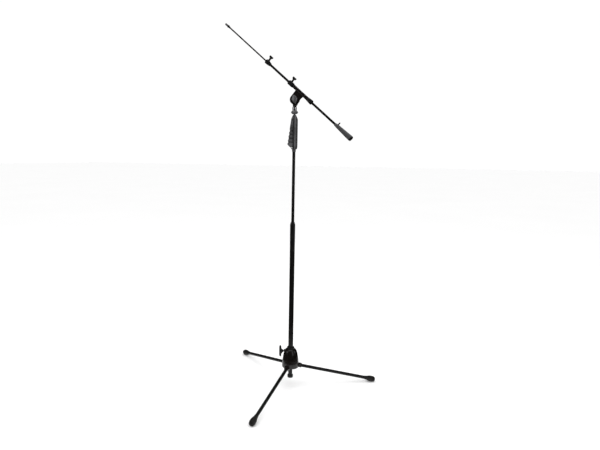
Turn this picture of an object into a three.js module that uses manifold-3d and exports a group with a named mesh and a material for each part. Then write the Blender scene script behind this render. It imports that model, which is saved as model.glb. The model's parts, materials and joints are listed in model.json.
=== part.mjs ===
// A boom microphone stand: a folding tripod base, a two-section pole whose upper tube is set by a
// squeeze grip, and a telescoping boom on a tilt joint. Millimetres, +Z up. The model is laid out
// about the pole axis, and the last lines put the middle of its footprint at the origin.
import * as THREE from "three";
import { mergeVertices } from "three/addons/utils/BufferGeometryUtils.js";
import Module from "manifold-3d";

const wasm = await Module();
wasm.setup();

// ---- driving dimensions ----------------------------------------------------------------------
const GAP = 0.3; // clearance between neighbouring pieces
const RUN = 0.4; // clearance round a piece that turns or swings

// tripod base
const LEG_AZIMUTHS = [-90, 30, 150];
const FLOOR = 5; // the pole's heights are measured from 5 mm below the floor
const LEG_REACH = 390; // pole axis to the middle of a foot
const LEG_APEX = 104.5; // height where the three leg axes meet the pole axis
const LEG_RADIUS = 7;
const LEG_WALL = 1;
const FOOT_RADIUS = 13.2;
const FOOT_HEIGHT = FLOOR + 12.6; // a foot is cut flat where it meets the floor
const PIN_REACH = 27; // pole axis to a leg's fold pin
const PIN_RADIUS = 2.5;
const TONGUE_RADIUS = 6.6;
const TONGUE_HALF = 6;
const CHEEK = 3.5; // thickness of the walls beside a leg slot
const HUB_BOTTOM = 91;
const HUB_TOP = 176.5;
const HUB_RIM = 39.5;
const BUSH_TOP = 186;
const KNOB_AZIMUTH = 210;
const KNOB_HEIGHT = 166;
const KNOB_REACH = 48.5; // pole axis to the middle of the T handle's bar
const KNOB_HALF_SPAN = 26;

// pole
const LOWER_RADIUS = 11;
const LOWER_WALL = 1.5;
const LOWER_BOTTOM = 100;
const COLLAR_BOTTOM = 677;
const COLLAR_TOP = 772.5;
const COLLAR_RADIUS = 11.6;
const PLUG_BOTTOM = 37.5;
const PLUG_FLANGE_TOP = 50.5;
const PLUG_FLANGE_RADIUS = 13.2;
const PLUG_NECK_RADIUS = 9.4;
const UPPER_RADIUS = 6.5;
const UPPER_WALL = 1.2;
const UPPER_BOTTOM = 557;
const UPPER_TOP = 1126;

// squeeze grip, laid out on its own axes: +X towards the trigger, Z up the pole
const GRIP_AZIMUTH = 202.5;
const GRIP_BOTTOM = 1099;
const GRIP_TOP = 1250.5;
const GRIP_SHOULDER = 1231;
const GRIP_RADIUS = 15.3;
const NUT_BOTTOM = 1087;
const TRIGGER_PIVOT = [10.4, 1226];
const TRIGGER_EDGE_TOP = 14.3; // how far the trigger's edge stands out at the shoulder
const TRIGGER_EDGE_LOW = 29.8; // and at its widest
const TRIGGER_WIDEST = 1122;
const TRIGGER_HALF = 9.3;
const TRIGGER_WALL = 2.4;
const TRIGGER_BACK = 4.8;
const CHEEKS_BOTTOM = 1192; // the housing's cheeks cover the trigger above this height
const ROD_RADIUS = 1.5;

// head
const RING_BOTTOM = 1253.5;
const RING_TOP = 1267.6;
const RING_RADIUS = 15.4;
const STUD_RADIUS = 4.7;
const TILT_HEIGHT = 1316.4;
const NECK_RADIUS = 9.9;
const JOINT_RADIUS = 21.4;
const JOINT_DROP = 31; // tilt axis down to the joint's foot
const CHEEK_PLATE = 7; // thickness of each half of the tilt joint
const JOINT_PLANE = -1.3; // the plane between the halves, in front of the pole axis
const BASE_CHEEK = JOINT_PLANE - 1 - CHEEK_PLATE; // back face of the fixed half
const CLAMP_CHEEK = JOINT_PLANE + 1 + CHEEK_PLATE; // front face of the moving half
const BOLT_RADIUS = 4;

// boom, laid out on its own axes: +X along it to the tip, Z away from the tilt axis
const BOOM_TILT = 41.1;
const BOOM_OFFSET = 39; // tilt axis to boom axis
const OUTER_RADIUS = 4.8;
const OUTER_WALL = 1;
const INNER_RADIUS = 3;
const INNER_WALL = 0.7;
const BOOM_BORE = OUTER_RADIUS + GAP;
const SLEEVE_RADIUS = 7.7;
const SLEEVE_HALF = 42;
const FRONT_COLLAR_END = 73.7;
const REAR_COLLAR_END = -72.6;
const BOOM_COLLAR_RADIUS = 10;
const END_COLLAR = [191.3, 221.6];
const OUTER_TUBE = [-292, 203];
const INNER_TUBE = [120, 475];
const TIP_SEAT = 481;
const TIP_END = 498;
const WEIGHT = [-310.7, -212.9];
const WEIGHT_RADIUS = 11.6;
const KNOB_SCREW_RADIUS = 2.2;

const ROUND = 16;
const FINE = 24;
const COARSE = 12;
const radians = THREE.MathUtils.degToRad;

// ---- materials -------------------------------------------------------------------------------
const paint = (name, color, roughness, metalness) => {
  const material = new THREE.MeshStandardMaterial({ color, roughness, metalness });
  material.name = name;
  return material;
};
const BLACK_TUBE = paint("black_tube", 0x17181a, 0.45, 0.3);
const BLACK_CAST = paint("black_cast", 0x121214, 0.35, 0.2);
const BLACK_PLASTIC = paint("black_plastic", 0x1c1c1e, 0.6, 0);
const GREY_GRIP = paint("grey_grip", 0x3a3a3c, 0.7, 0);
const RUBBER = paint("rubber", 0x1a1a1a, 0.9, 0);
const CHROME = paint("chrome", 0xc8c8ca, 0.15, 1);
const STEEL = paint("steel", 0x8d8f92, 0.35, 1);
const GREY_METAL = paint("grey_metal", 0x6c6d70, 0.45, 0.6);

// ---- shape helpers ---------------------------------------------------------------------------
// a [radius, height] outline turned about Z
function turned(outline, sides = ROUND) {
  const points = outline.map(([radius, height]) => new THREE.Vector2(radius, height));
  return new THREE.LatheGeometry(points, sides).rotateX(Math.PI / 2);
}

function rod(radius, from, to, sides = COARSE) {
  return turned([[0, from], [radius, from], [radius, to], [0, to]], sides);
}

function sleeve(bore, radius, from, to, sides = ROUND) {
  return turned([[bore, from], [radius, from], [radius, to], [bore, to], [bore, from]], sides);
}

const alongX = (geometry) => geometry.rotateY(Math.PI / 2);
const alongY = (geometry) => geometry.rotateX(-Math.PI / 2);

function block([x0, x1], [y0, y1], [z0, z1]) {
  const geometry = new THREE.BoxGeometry(x1 - x0, y1 - y0, z1 - z0);
  return geometry.translate((x0 + x1) / 2, (y0 + y1) / 2, (z0 + z1) / 2);
}

// an [x, z] outline given a thickness along Y, centred on y = 0
function plate(shape, thickness, bevel = 0) {
  const geometry = new THREE.ExtrudeGeometry(shape, {
    depth: thickness - 2 * bevel,
    bevelEnabled: bevel > 0,
    bevelThickness: bevel,
    bevelSize: bevel,
    bevelOffset: -bevel,
    bevelSegments: 1,
    curveSegments: 6,
  });
  return geometry.translate(0, 0, bevel - thickness / 2).rotateX(Math.PI / 2);
}

function outline(points) {
  return new THREE.Shape(points.map(([x, z]) => new THREE.Vector2(x, z)));
}

// an arch section, flat below and round on top, run along X
function archBar(half, drop, from, to) {
  const section = new THREE.Shape();
  section.moveTo(-half, -drop);
  section.lineTo(half, -drop);
  section.lineTo(half, 0);
  section.absarc(0, 0, half, 0, Math.PI);
  section.lineTo(-half, -drop);
  const bar = new THREE.ExtrudeGeometry(section, {
    depth: to - from,
    bevelEnabled: false,
    curveSegments: 5,
  });
  return bar.rotateX(Math.PI / 2).rotateZ(Math.PI / 2).translate(from, 0, 0);
}

// ---- solids ----------------------------------------------------------------------------------
function toSolid(geometry) {
  const bare = geometry.clone();
  bare.deleteAttribute("normal");
  bare.deleteAttribute("uv");
  const merged = mergeVertices(bare, 1e-4);
  return new wasm.Manifold(
    new wasm.Mesh({
      numProp: 3,
      vertProperties: new Float32Array(merged.attributes.position.array),
      triVerts: new Uint32Array(merged.index.array),
    }),
  );
}

function toGeometry(solid) {
  const { vertProperties, triVerts } = solid.getMesh();
  const geometry = new THREE.BufferGeometry();
  geometry.setAttribute("position", new THREE.BufferAttribute(vertProperties, 3));
  geometry.setIndex(new THREE.BufferAttribute(triVerts, 1));
  geometry.computeVertexNormals();
  return geometry;
}

const combine = (first, rest, how) => {
  const step = (solid, geometry) => solid[how](toSolid(geometry));
  return toGeometry(rest.reduce(step, toSolid(first)));
};
const join = (first, ...rest) => combine(first, rest, "add");
const cut = (first, ...rest) => combine(first, rest, "subtract");
const common = (first, ...rest) => combine(first, rest, "intersect");

function piece(name, geometry, material) {
  const mesh = new THREE.Mesh(geometry, material);
  mesh.name = name;
  return mesh;
}

function group(...children) {
  const made = new THREE.Group();
  made.add(...children);
  return made;
}

// ---- tripod base -----------------------------------------------------------------------------
const LEG_SLOPE = Math.atan2(LEG_APEX - FOOT_HEIGHT, LEG_REACH);
const PIN_HEIGHT = LEG_APEX - PIN_REACH * Math.tan(LEG_SLOPE);
const PIN_TO_FOOT = (LEG_REACH - PIN_REACH) / Math.cos(LEG_SLOPE);
const SLOT_HALF = LEG_RADIUS + 0.6;
const SHOULDER = [12, 16]; // the root's shoulder, measured along the leg from its pin
const POLE_BORE = LOWER_RADIUS + GAP;

// from leg axes (X down the leg from its pin, Y across it) to the pole's
function legPlacement(azimuth) {
  const turn = new THREE.Matrix4().makeRotationZ(radians(azimuth));
  const toPin = new THREE.Matrix4().makeTranslation(PIN_REACH, 0, PIN_HEIGHT);
  const slope = new THREE.Matrix4().makeRotationY(LEG_SLOPE);
  return turn.multiply(toPin).multiply(slope);
}

// the hub's outer bell, from the rim up to its rounded shoulder
function bellOutside() {
  return [
    [HUB_RIM, HUB_BOTTOM],
    [HUB_RIM, 101],
    [38.8, 112],
    [37.2, 126],
    [35, 140],
    [32.2, 154],
    [29, 165],
    [25.4, 172],
    [18.8, HUB_TOP],
  ];
}

function hubShell() {
  const wall = 3;
  const bossRadius = 15;
  const ceiling = 156;
  return turned([
    [POLE_BORE, 112],
    [bossRadius, 112],
    [bossRadius, ceiling],
    [27.5, ceiling - 3],
    [36.5 - wall, 131],
    [HUB_RIM - wall, 104],
    [HUB_RIM - wall, HUB_BOTTOM],
    ...bellOutside(),
    [POLE_BORE, HUB_TOP],
    [POLE_BORE, 112],
  ], FINE);
}

function legHub() {
  const envelope = turned([[0, HUB_BOTTOM], ...bellOutside(), [0, HUB_TOP]], FINE);
  const outerHalf = SLOT_HALF + CHEEK;
  const innerHalf = TONGUE_HALF + RUN;
  const added = [];
  const removed = [];
  for (const azimuth of LEG_AZIMUTHS) {
    const place = legPlacement(azimuth);
    const housing = block([-13, 13], [-outerHalf, outerHalf], [-9, 14]).applyMatrix4(place);
    added.push(common(housing, envelope));
    added.push(archBar(outerHalf, 7, 6, 25).applyMatrix4(place));
    removed.push(archBar(SLOT_HALF, 40, -12, 40).applyMatrix4(place));
    removed.push(block([-12, 13], [-innerHalf, innerHalf], [-40, 7]).applyMatrix4(place));
    removed.push(alongY(rod(PIN_RADIUS + GAP, -20, 20)).applyMatrix4(place));
  }
  const aimed = (geometry) => {
    return geometry.translate(0, 0, KNOB_HEIGHT).rotateZ(radians(KNOB_AZIMUTH));
  };
  added.push(aimed(alongX(rod(8.5, 18, 31.5, ROUND))));
  removed.push(aimed(alongX(rod(4.2, 5, 40))));
  removed.push(aimed(block([5, 15], [-6.5, 6.5], [-6.5, 6.5])));
  removed.push(rod(POLE_BORE, 60, 200, FINE));
  return piece("leg_hub", cut(join(hubShell(), ...added), ...removed), BLACK_CAST);
}

function hubBush() {
  const profile = [
    [POLE_BORE, HUB_TOP + GAP],
    [17.5, HUB_TOP + GAP],
    [17.5, BUSH_TOP - 2],
    [15.5, BUSH_TOP],
    [POLE_BORE, BUSH_TOP],
    [POLE_BORE, HUB_TOP + GAP],
  ];
  return piece("hub_bush", turned(profile, FINE), BLACK_PLASTIC);
}

function clampPad() {
  const raw = block([8, 14.6], [-6, 6], [-6, 6]);
  const pole = rod(POLE_BORE, -10, 10, FINE);
  const pad = piece("clamp_pad", cut(raw, pole), BLACK_PLASTIC);
  pad.position.z = KNOB_HEIGHT;
  return pad;
}

function knobHandle() {
  const inner = KNOB_REACH - 5;
  const outer = KNOB_REACH + 5;
  const span = KNOB_HALF_SPAN;
  const side = [
    [KNOB_REACH - 13.5, 6.5],
    [inner - 4.5, 7.5],
    [inner - 0.5, 16],
    [inner + 0.5, span - 3],
    [inner + 3, span],
    [outer - 3, span],
    [outer, span - 3],
  ];
  const mirrored = side.map(([x, z]) => [x, -z]).reverse();
  const bar = plate(outline([...mirrored, ...side].reverse()), 9.5, 1.2);
  const handle = cut(bar, alongX(rod(4.2, 30, inner + 4)));
  const knob = piece("base_knob", handle, BLACK_PLASTIC);
  knob.position.z = KNOB_HEIGHT;
  return knob;
}

function knobScrew() {
  const screw = piece("base_knob_screw", alongX(rod(3.9, 15, KNOB_REACH - 1.5)), STEEL);
  screw.position.z = KNOB_HEIGHT;
  return screw;
}

function legRoot(number) {
  const tongue = new THREE.Shape();
  tongue.moveTo(SHOULDER[0] + 0.5, TONGUE_RADIUS);
  tongue.absarc(0, 0, TONGUE_RADIUS, Math.PI / 2, (3 * Math.PI) / 2);
  tongue.lineTo(SHOULDER[0] + 0.5, -TONGUE_RADIUS);
  const shoulder = alongX(rod(LEG_RADIUS, ...SHOULDER, ROUND));
  const spigotRadius = LEG_RADIUS - LEG_WALL - GAP;
  const spigot = alongX(rod(spigotRadius, SHOULDER[0], SHOULDER[1] + 30));
  const eye = alongY(rod(PIN_RADIUS + GAP, -20, 20));
  const shape = cut(join(plate(tongue, 2 * TONGUE_HALF), shoulder, spigot), eye);
  return piece(`leg_root_${number}`, shape, BLACK_CAST);
}

function legTube(number) {
  const bore = LEG_RADIUS - LEG_WALL;
  const tube = sleeve(bore, LEG_RADIUS, SHOULDER[1] + GAP, PIN_TO_FOOT - 4);
  return piece(`leg_tube_${number}`, alongX(tube), BLACK_TUBE);
}

// a rubber drop pushed over the leg's end, with the floor side cut flat
function rubberFoot(number, placement) {
  const socket = LEG_RADIUS + GAP;
  const profile = [
    [socket, PIN_TO_FOOT - 34.5],
    [socket + 1.4, PIN_TO_FOOT - 34.5],
    [socket + 2.2, PIN_TO_FOOT - 26],
    [socket + 4.2, PIN_TO_FOOT - 16],
    [FOOT_RADIUS, PIN_TO_FOOT - 6],
    [FOOT_RADIUS, PIN_TO_FOOT + 4.5],
    [FOOT_RADIUS - 1.4, PIN_TO_FOOT + 10],
    [FOOT_RADIUS - 4.6, PIN_TO_FOOT + 14.4],
    [FOOT_RADIUS - 9, PIN_TO_FOOT + 16.3],
    [0, PIN_TO_FOOT + 16.8],
    [0, PIN_TO_FOOT - 3.5],
    [socket, PIN_TO_FOOT - 3.5],
    [socket, PIN_TO_FOOT - 34.5],
  ];
  const below = block([300, 460], [-40, 40], [-40, FLOOR]);
  const azimuth = radians(LEG_AZIMUTHS[number - 1]);
  const floor = below.rotateZ(azimuth).applyMatrix4(placement.clone().invert());
  const rounded = alongX(turned(profile));
  return piece(`rubber_foot_${number}`, cut(rounded, floor), RUBBER);
}

function legPin(number) {
  const half = SLOT_HALF + CHEEK - 0.2;
  return piece(`leg_pin_${number}`, alongY(rod(PIN_RADIUS, -half, half)), STEEL);
}

function leg(azimuth, index) {
  const number = index + 1;
  const placement = legPlacement(azimuth);
  const pieces = [legRoot(number), legTube(number), legPin(number)];
  const made = group(...pieces, rubberFoot(number, placement));
  made.applyMatrix4(placement);
  return made;
}

function tripodBase() {
  const knob = group(clampPad(), knobHandle(), knobScrew());
  knob.rotation.z = radians(KNOB_AZIMUTH);
  return group(legHub(), hubBush(), knob, ...LEG_AZIMUTHS.map(leg));
}

// ---- pole ------------------------------------------------------------------------------------
const LOWER_BORE = LOWER_RADIUS - LOWER_WALL;
const UPPER_BORE = UPPER_RADIUS - UPPER_WALL;

function lowerTube() {
  const tube = sleeve(LOWER_BORE, LOWER_RADIUS, LOWER_BOTTOM, COLLAR_BOTTOM, FINE);
  return piece("lower_tube", tube, BLACK_TUBE);
}

function tubePlug() {
  const profile = [
    [0, PLUG_BOTTOM],
    [PLUG_FLANGE_RADIUS - 1.5, PLUG_BOTTOM],
    [PLUG_FLANGE_RADIUS, PLUG_BOTTOM + 1.5],
    [PLUG_FLANGE_RADIUS, PLUG_FLANGE_TOP - 1.5],
    [PLUG_FLANGE_RADIUS - 1.5, PLUG_FLANGE_TOP],
    [PLUG_NECK_RADIUS, PLUG_FLANGE_TOP],
    [PLUG_NECK_RADIUS, LOWER_BOTTOM - 4],
    [LOWER_RADIUS, LOWER_BOTTOM - 3],
    [LOWER_RADIUS, LOWER_BOTTOM - GAP],
    [LOWER_BORE - GAP, LOWER_BOTTOM - GAP],
    [LOWER_BORE - GAP, LOWER_BOTTOM + 20],
    [0, LOWER_BOTTOM + 20],
  ];
  return piece("tube_plug", turned(profile, FINE), BLACK_PLASTIC);
}

// a plastic guide in the lower tube's mouth that the upper tube slides through
function junctionCollar() {
  const bore = UPPER_RADIUS + GAP;
  const profile = [
    [bore, COLLAR_BOTTOM - 58],
    [LOWER_BORE - GAP, COLLAR_BOTTOM - 58],
    [LOWER_BORE - GAP, COLLAR_BOTTOM + GAP],
    [COLLAR_RADIUS, COLLAR_BOTTOM + GAP],
    [COLLAR_RADIUS, COLLAR_TOP - 12],
    [bore + 1, COLLAR_TOP],
    [bore, COLLAR_TOP],
    [bore, COLLAR_BOTTOM - 58],
  ];
  return piece("junction_collar", turned(profile), BLACK_PLASTIC);
}

function upperTube() {
  const tube = sleeve(UPPER_BORE, UPPER_RADIUS, UPPER_BOTTOM, UPPER_TOP);
  return piece("upper_tube", tube, BLACK_TUBE);
}

const COLLET_WEB = UPPER_BOTTOM - 4;
const COLLET_FOOT = COLLET_WEB - 28;
const COLLET_NARROW = 5.2;
const COLLET_WIDE = 7.2;
const colletBore = (height) => {
  const share = (height - COLLET_FOOT) / (COLLET_WEB - COLLET_FOOT);
  return COLLET_NARROW + share * (COLLET_WIDE - COLLET_NARROW);
};

// slit fingers that the cone spreads against the lower tube
function lockCollet() {
  const radius = LOWER_BORE - RUN;
  const profile = [
    [ROD_RADIUS + RUN, COLLET_WEB],
    [COLLET_WIDE, COLLET_WEB],
    [COLLET_NARROW, COLLET_FOOT],
    [radius, COLLET_FOOT],
    [radius, UPPER_BOTTOM + 16],
    [UPPER_RADIUS + GAP, UPPER_BOTTOM + 16],
    [UPPER_RADIUS + GAP, UPPER_BOTTOM - GAP],
    [ROD_RADIUS + RUN, UPPER_BOTTOM - GAP],
    [ROD_RADIUS + RUN, COLLET_WEB],
  ];
  const slits = [0, 120, 240].map((turn) => {
    const slit = block([2, 14], [-0.8, 0.8], [COLLET_FOOT - 1, COLLET_WEB - 4]);
    return slit.rotateZ(radians(turn));
  });
  return piece("lock_collet", cut(turned(profile), ...slits), BLACK_PLASTIC);
}

const CONE_BOTTOM = COLLET_FOOT + 4;
const CONE_TOP = CONE_BOTTOM + 16;

function lockCone() {
  const bore = ROD_RADIUS + GAP;
  const profile = [
    [bore, CONE_BOTTOM],
    [colletBore(CONE_BOTTOM) - GAP, CONE_BOTTOM],
    [colletBore(CONE_TOP) - GAP, CONE_TOP],
    [bore, CONE_TOP],
    [bore, CONE_BOTTOM],
  ];
  return piece("lock_cone", turned(profile), STEEL);
}

const ROD_HEAD = 1225;
const SPRING_SEAT = 1138;
const SHELF = [1160, 1163];

// the rod that joins the trigger's arm to the cone, with a head and a spring collar
function pullRod() {
  const profile = [
    [0, CONE_BOTTOM - 2],
    [ROD_RADIUS, CONE_BOTTOM - 2],
    [ROD_RADIUS, SPRING_SEAT - 2.5],
    [4, SPRING_SEAT - 2.5],
    [4, SPRING_SEAT],
    [ROD_RADIUS, SPRING_SEAT],
    [ROD_RADIUS, ROD_HEAD],
    [3.4, ROD_HEAD],
    [3.4, ROD_HEAD + 3],
    [0, ROD_HEAD + 3],
  ];
  return piece("pull_rod", turned(profile, 12), STEEL);
}

function returnSpring() {
  const wire = 0.5;
  const radius = 3.1;
  const turns = 5;
  const from = SPRING_SEAT + GAP + wire;
  const to = SHELF[0] - GAP - wire;
  const stepsPerTurn = 8;
  const points = [];
  for (let step = 0; step <= turns * stepsPerTurn; step += 1) {
    const angle = (step / stepsPerTurn) * 2 * Math.PI;
    const height = from + ((to - from) * step) / (turns * stepsPerTurn);
    points.push(new THREE.Vector3(radius * Math.cos(angle), radius * Math.sin(angle), height));
  }
  const section = new THREE.Shape();
  section.absarc(0, 0, wire, 0, 2 * Math.PI);
  const coil = new THREE.ExtrudeGeometry(section, {
    steps: turns * stepsPerTurn,
    curveSegments: 3,
    bevelEnabled: false,
    extrudePath: new THREE.CatmullRomCurve3(points),
  });
  return piece("return_spring", coil, STEEL);
}

function pole() {
  return group(
    lowerTube(),
    tubePlug(),
    junctionCollar(),
    upperTube(),
    lockCollet(),
    lockCone(),
    pullRod(),
    returnSpring(),
  );
}

// ---- squeeze grip ----------------------------------------------------------------------------
const CHANNEL_HALF = TRIGGER_HALF + 0.5;
const GRIP_FLOOR = GRIP_BOTTOM + 5.5; // the channel for the trigger starts here
const TRIGGER_FLARE = (TRIGGER_EDGE_LOW - TRIGGER_EDGE_TOP) / (GRIP_SHOULDER - TRIGGER_WIDEST);
const triggerEdge = (height) => TRIGGER_EDGE_TOP + TRIGGER_FLARE * (GRIP_SHOULDER - height);

function gripBody() {
  const column = turned([
    [0, GRIP_BOTTOM],
    [11, GRIP_BOTTOM],
    [13.8, GRIP_BOTTOM + 3],
    [GRIP_RADIUS - 0.6, GRIP_BOTTOM + 8],
    [GRIP_RADIUS, GRIP_BOTTOM + 16],
    [GRIP_RADIUS, GRIP_SHOULDER - 3],
    [GRIP_RADIUS - 1, GRIP_SHOULDER + 2],
    [10.4, GRIP_SHOULDER + 10.5],
    [6.2, GRIP_TOP],
    [0, GRIP_TOP],
  ], FINE);
  const nose = plate(outline([
    [0, CHEEKS_BOTTOM],
    [triggerEdge(CHEEKS_BOTTOM), CHEEKS_BOTTOM],
    [TRIGGER_EDGE_TOP, GRIP_SHOULDER],
    [TRIGGER_EDGE_TOP - 3, GRIP_SHOULDER + 3.5],
    [0, GRIP_SHOULDER + 3.5],
  ]), 2 * (CHANNEL_HALF + 3.2), 2.4);
  const [pivotX, pivotZ] = TRIGGER_PIVOT;
  const hollows = [
    block([4.5, 40], [-30, 30], [GRIP_FLOOR, CHEEKS_BOTTOM]),
    block([-9, 40], [-CHANNEL_HALF, CHANNEL_HALF], [GRIP_FLOOR, GRIP_SHOULDER + 0.2]),
    rod(UPPER_RADIUS + GAP, GRIP_BOTTOM - 5, GRIP_BOTTOM + 20, ROUND),
    rod(STUD_RADIUS + GAP, GRIP_SHOULDER + 5.5, GRIP_TOP + 5, ROUND),
    alongY(rod(2.3, -20, 20)).translate(pivotX, 0, pivotZ),
  ];
  const shelf = cut(
    block([-11, 6], [-6.3, 6.3], SHELF),
    rod(ROD_RADIUS + RUN, SHELF[0] - 1, SHELF[1] + 1),
  );
  return piece("grip_body", join(cut(join(column, nose), ...hollows), shelf), GREY_GRIP);
}

// the finger side: a hollow lever with scalloped grips, hung from the pin near its top
function triggerLever() {
  const [pivotX, pivotZ] = TRIGGER_PIVOT;
  const top = pivotZ + 4.4;
  const points = [[TRIGGER_BACK, top - 1.5], [TRIGGER_BACK + 2, top], [pivotX + 1, top]];
  points.push([triggerEdge(top - 3) - 0.4, top - 3]);
  const fingers = 4;
  const gripTop = CHEEKS_BOTTOM - 4;
  const pitch = (gripTop - TRIGGER_WIDEST) / fingers;
  for (let step = 0; step <= fingers * 4; step += 1) {
    const height = gripTop - (pitch * step) / 4;
    const dip = 0.9 * (1 - Math.cos((step * Math.PI) / 2));
    points.push([triggerEdge(height) - dip, height]);
  }
  points.push([TRIGGER_EDGE_LOW - 1.6, TRIGGER_WIDEST - 4]);
  points.push([15.6, GRIP_FLOOR + 2], [TRIGGER_BACK, GRIP_FLOOR + 2]);
  const outer = plate(outline(points.reverse()), 2 * TRIGGER_HALF, 0.8);
  const skin = 3.6;
  const ceiling = 1212;
  const hollow = plate(outline([
    [0, GRIP_BOTTOM],
    [30, GRIP_BOTTOM],
    [20, GRIP_BOTTOM + 12],
    [16.4, GRIP_BOTTOM + 12],
    [TRIGGER_EDGE_LOW - skin - 1.4, TRIGGER_WIDEST - 2],
    [triggerEdge(ceiling) - skin, ceiling],
    [0, ceiling],
  ]), 2 * (TRIGGER_HALF - TRIGGER_WALL));
  const arm = block([-4.5, TRIGGER_BACK + 3], [-5, 5], [ROD_HEAD - 5.4, ROD_HEAD - 0.4]);
  const rodSlot = block([-8, 3.2], [-ROD_RADIUS - 0.6, ROD_RADIUS + 0.6], [1212, ROD_HEAD + 4]);
  const eye = alongY(rod(2.3, -20, 20)).translate(pivotX, 0, pivotZ);
  const headRoom = block([-8, 5.4], [-12, 12], [ROD_HEAD - 0.4, ROD_HEAD + 8]);
  const lever = cut(join(cut(outer, hollow, headRoom), arm), rodSlot, eye);
  return piece("trigger", lever, GREY_GRIP);
}

function triggerPin() {
  const [pivotX, pivotZ] = TRIGGER_PIVOT;
  const half = CHANNEL_HALF + 3;
  const pin = piece("trigger_pin", alongY(rod(2, -half, half)), STEEL);
  pin.position.set(pivotX, 0, pivotZ);
  return pin;
}

function gripNut() {
  const bore = UPPER_RADIUS + GAP;
  const profile = [
    [bore, NUT_BOTTOM],
    [bore + 0.8, NUT_BOTTOM],
    [8.8, GRIP_BOTTOM - 3],
    [8.8, GRIP_BOTTOM - GAP],
    [bore, GRIP_BOTTOM - GAP],
    [bore, NUT_BOTTOM],
  ];
  return piece("grip_nut", turned(profile), BLACK_PLASTIC);
}

function squeezeGrip() {
  const made = group(gripBody(), triggerLever(), triggerPin(), gripNut());
  made.rotation.z = radians(GRIP_AZIMUTH);
  return made;
}

// ---- head ------------------------------------------------------------------------------------
function threadedStud() {
  const profile = [
    [0, GRIP_SHOULDER + 6],
    [STUD_RADIUS, GRIP_SHOULDER + 6],
    [STUD_RADIUS, RING_TOP + 9],
    [STUD_RADIUS - 1, RING_TOP + 10],
    [0, RING_TOP + 10],
  ];
  return piece("threaded_stud", turned(profile), CHROME);
}

function lockRing() {
  const bore = STUD_RADIUS + GAP;
  const bevel = 3;
  const profile = [
    [bore, RING_BOTTOM],
    [RING_RADIUS - bevel, RING_BOTTOM],
    [RING_RADIUS, RING_BOTTOM + bevel],
    [RING_RADIUS, RING_TOP - bevel],
    [RING_RADIUS - bevel, RING_TOP],
    [bore, RING_TOP],
    [bore, RING_BOTTOM],
  ];
  return piece("lock_ring", turned(profile, FINE), GREY_METAL);
}

const JOINT_FOOT = TILT_HEIGHT - JOINT_DROP;

function swivelAdapter() {
  const bore = STUD_RADIUS + GAP;
  const profile = [
    [bore, RING_TOP + GAP],
    [NECK_RADIUS, RING_TOP + GAP],
    [NECK_RADIUS, JOINT_FOOT - GAP],
    [5, JOINT_FOOT - GAP],
    [5, JOINT_FOOT + 5],
    [0, JOINT_FOOT + 5],
    [0, RING_TOP + 12],
    [bore, RING_TOP + 12],
    [bore, RING_TOP + GAP],
  ];
  return piece("swivel_adapter", turned(profile), CHROME);
}

// the fixed half of the tilt joint: a round cheek that runs down into a foot on the pole axis
function jointBase() {
  const footHalf = 7.8;
  const tangent = Math.acos(footHalf / JOINT_RADIUS) - radians(16);
  const cheek = new THREE.Shape();
  cheek.absarc(0, 0, JOINT_RADIUS, -tangent, Math.PI + tangent);
  cheek.lineTo(-footHalf, -JOINT_DROP + 4);
  cheek.lineTo(footHalf, -JOINT_DROP + 4);
  const layer = plate(cheek, CHEEK_PLATE, 1).translate(0, BASE_CHEEK + CHEEK_PLATE / 2, 0);
  const foot = turned([
    [0, -JOINT_DROP],
    [8, -JOINT_DROP],
    [8.8, -JOINT_DROP + 1],
    [8.8, -JOINT_RADIUS - 1.6],
    [0, -JOINT_RADIUS - 1.6],
  ]);
  const bolt = alongY(rod(BOLT_RADIUS + GAP, -20, 20));
  const socket = rod(5 + GAP, -JOINT_DROP - 1, -JOINT_DROP + 6);
  return piece("joint_base", cut(join(layer, foot), bolt, socket), BLACK_CAST);
}

function frictionWasher() {
  const washer = sleeve(BOLT_RADIUS + 1, JOINT_RADIUS - 4, JOINT_PLANE - 0.7, JOINT_PLANE + 0.7);
  return piece("friction_washer", alongY(washer), RUBBER);
}

function tiltBolt() {
  return piece("tilt_bolt", alongY(rod(BOLT_RADIUS, BASE_CHEEK - 7.4, CLAMP_CHEEK + 8)), STEEL);
}

function tiltNut() {
  const hexagon = rod(7.6, BASE_CHEEK - 6.4, BASE_CHEEK - GAP, 6);
  const nut = cut(hexagon, rod(BOLT_RADIUS + GAP, -20, 0));
  return piece("tilt_nut", alongY(nut), STEEL);
}

// a leaf-shaped lever: pointed at both ends, leaning towards the boom's tip
function tiltLever() {
  const base = CLAMP_CHEEK + RUN;
  const leaf = new THREE.Shape();
  leaf.moveTo(0, -24);
  leaf.quadraticCurveTo(12.5, -12, 14.5, 1);
  leaf.quadraticCurveTo(9.5, 13, 0, 22);
  leaf.quadraticCurveTo(-9.5, 13, -14.5, 1);
  leaf.quadraticCurveTo(-12.5, -12, 0, -24);
  const blade = plate(leaf, 6.4, 2).translate(0, base + 6.6, 0).rotateY(radians(13));
  const boss = alongY(turned([
    [0, base],
    [9, base],
    [9, base + 3],
    [7.5, base + 5],
    [0, base + 5],
  ]));
  const bore = alongY(rod(BOLT_RADIUS + GAP, 0, CLAMP_CHEEK + 8.4));
  return piece("tilt_lever", cut(join(blade, boss), bore), GREY_METAL);
}

function tiltJoint() {
  const pieces = [jointBase(), frictionWasher(), tiltBolt(), tiltNut(), tiltLever()];
  const made = group(...pieces);
  made.position.z = TILT_HEIGHT;
  return made;
}

// ---- boom ------------------------------------------------------------------------------------
const SPIGOT_RADIUS = 6.4;
const SPIGOT_LENGTH = 8;
const atBoom = (geometry) => geometry.translate(0, 0, BOOM_OFFSET);
const KNOB_SEAT = 13.5; // boom axis to the top of a collar's screw boss
const FRONT_KNOB_X = 61.7;
const END_KNOB_X = 211.1;

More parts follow.
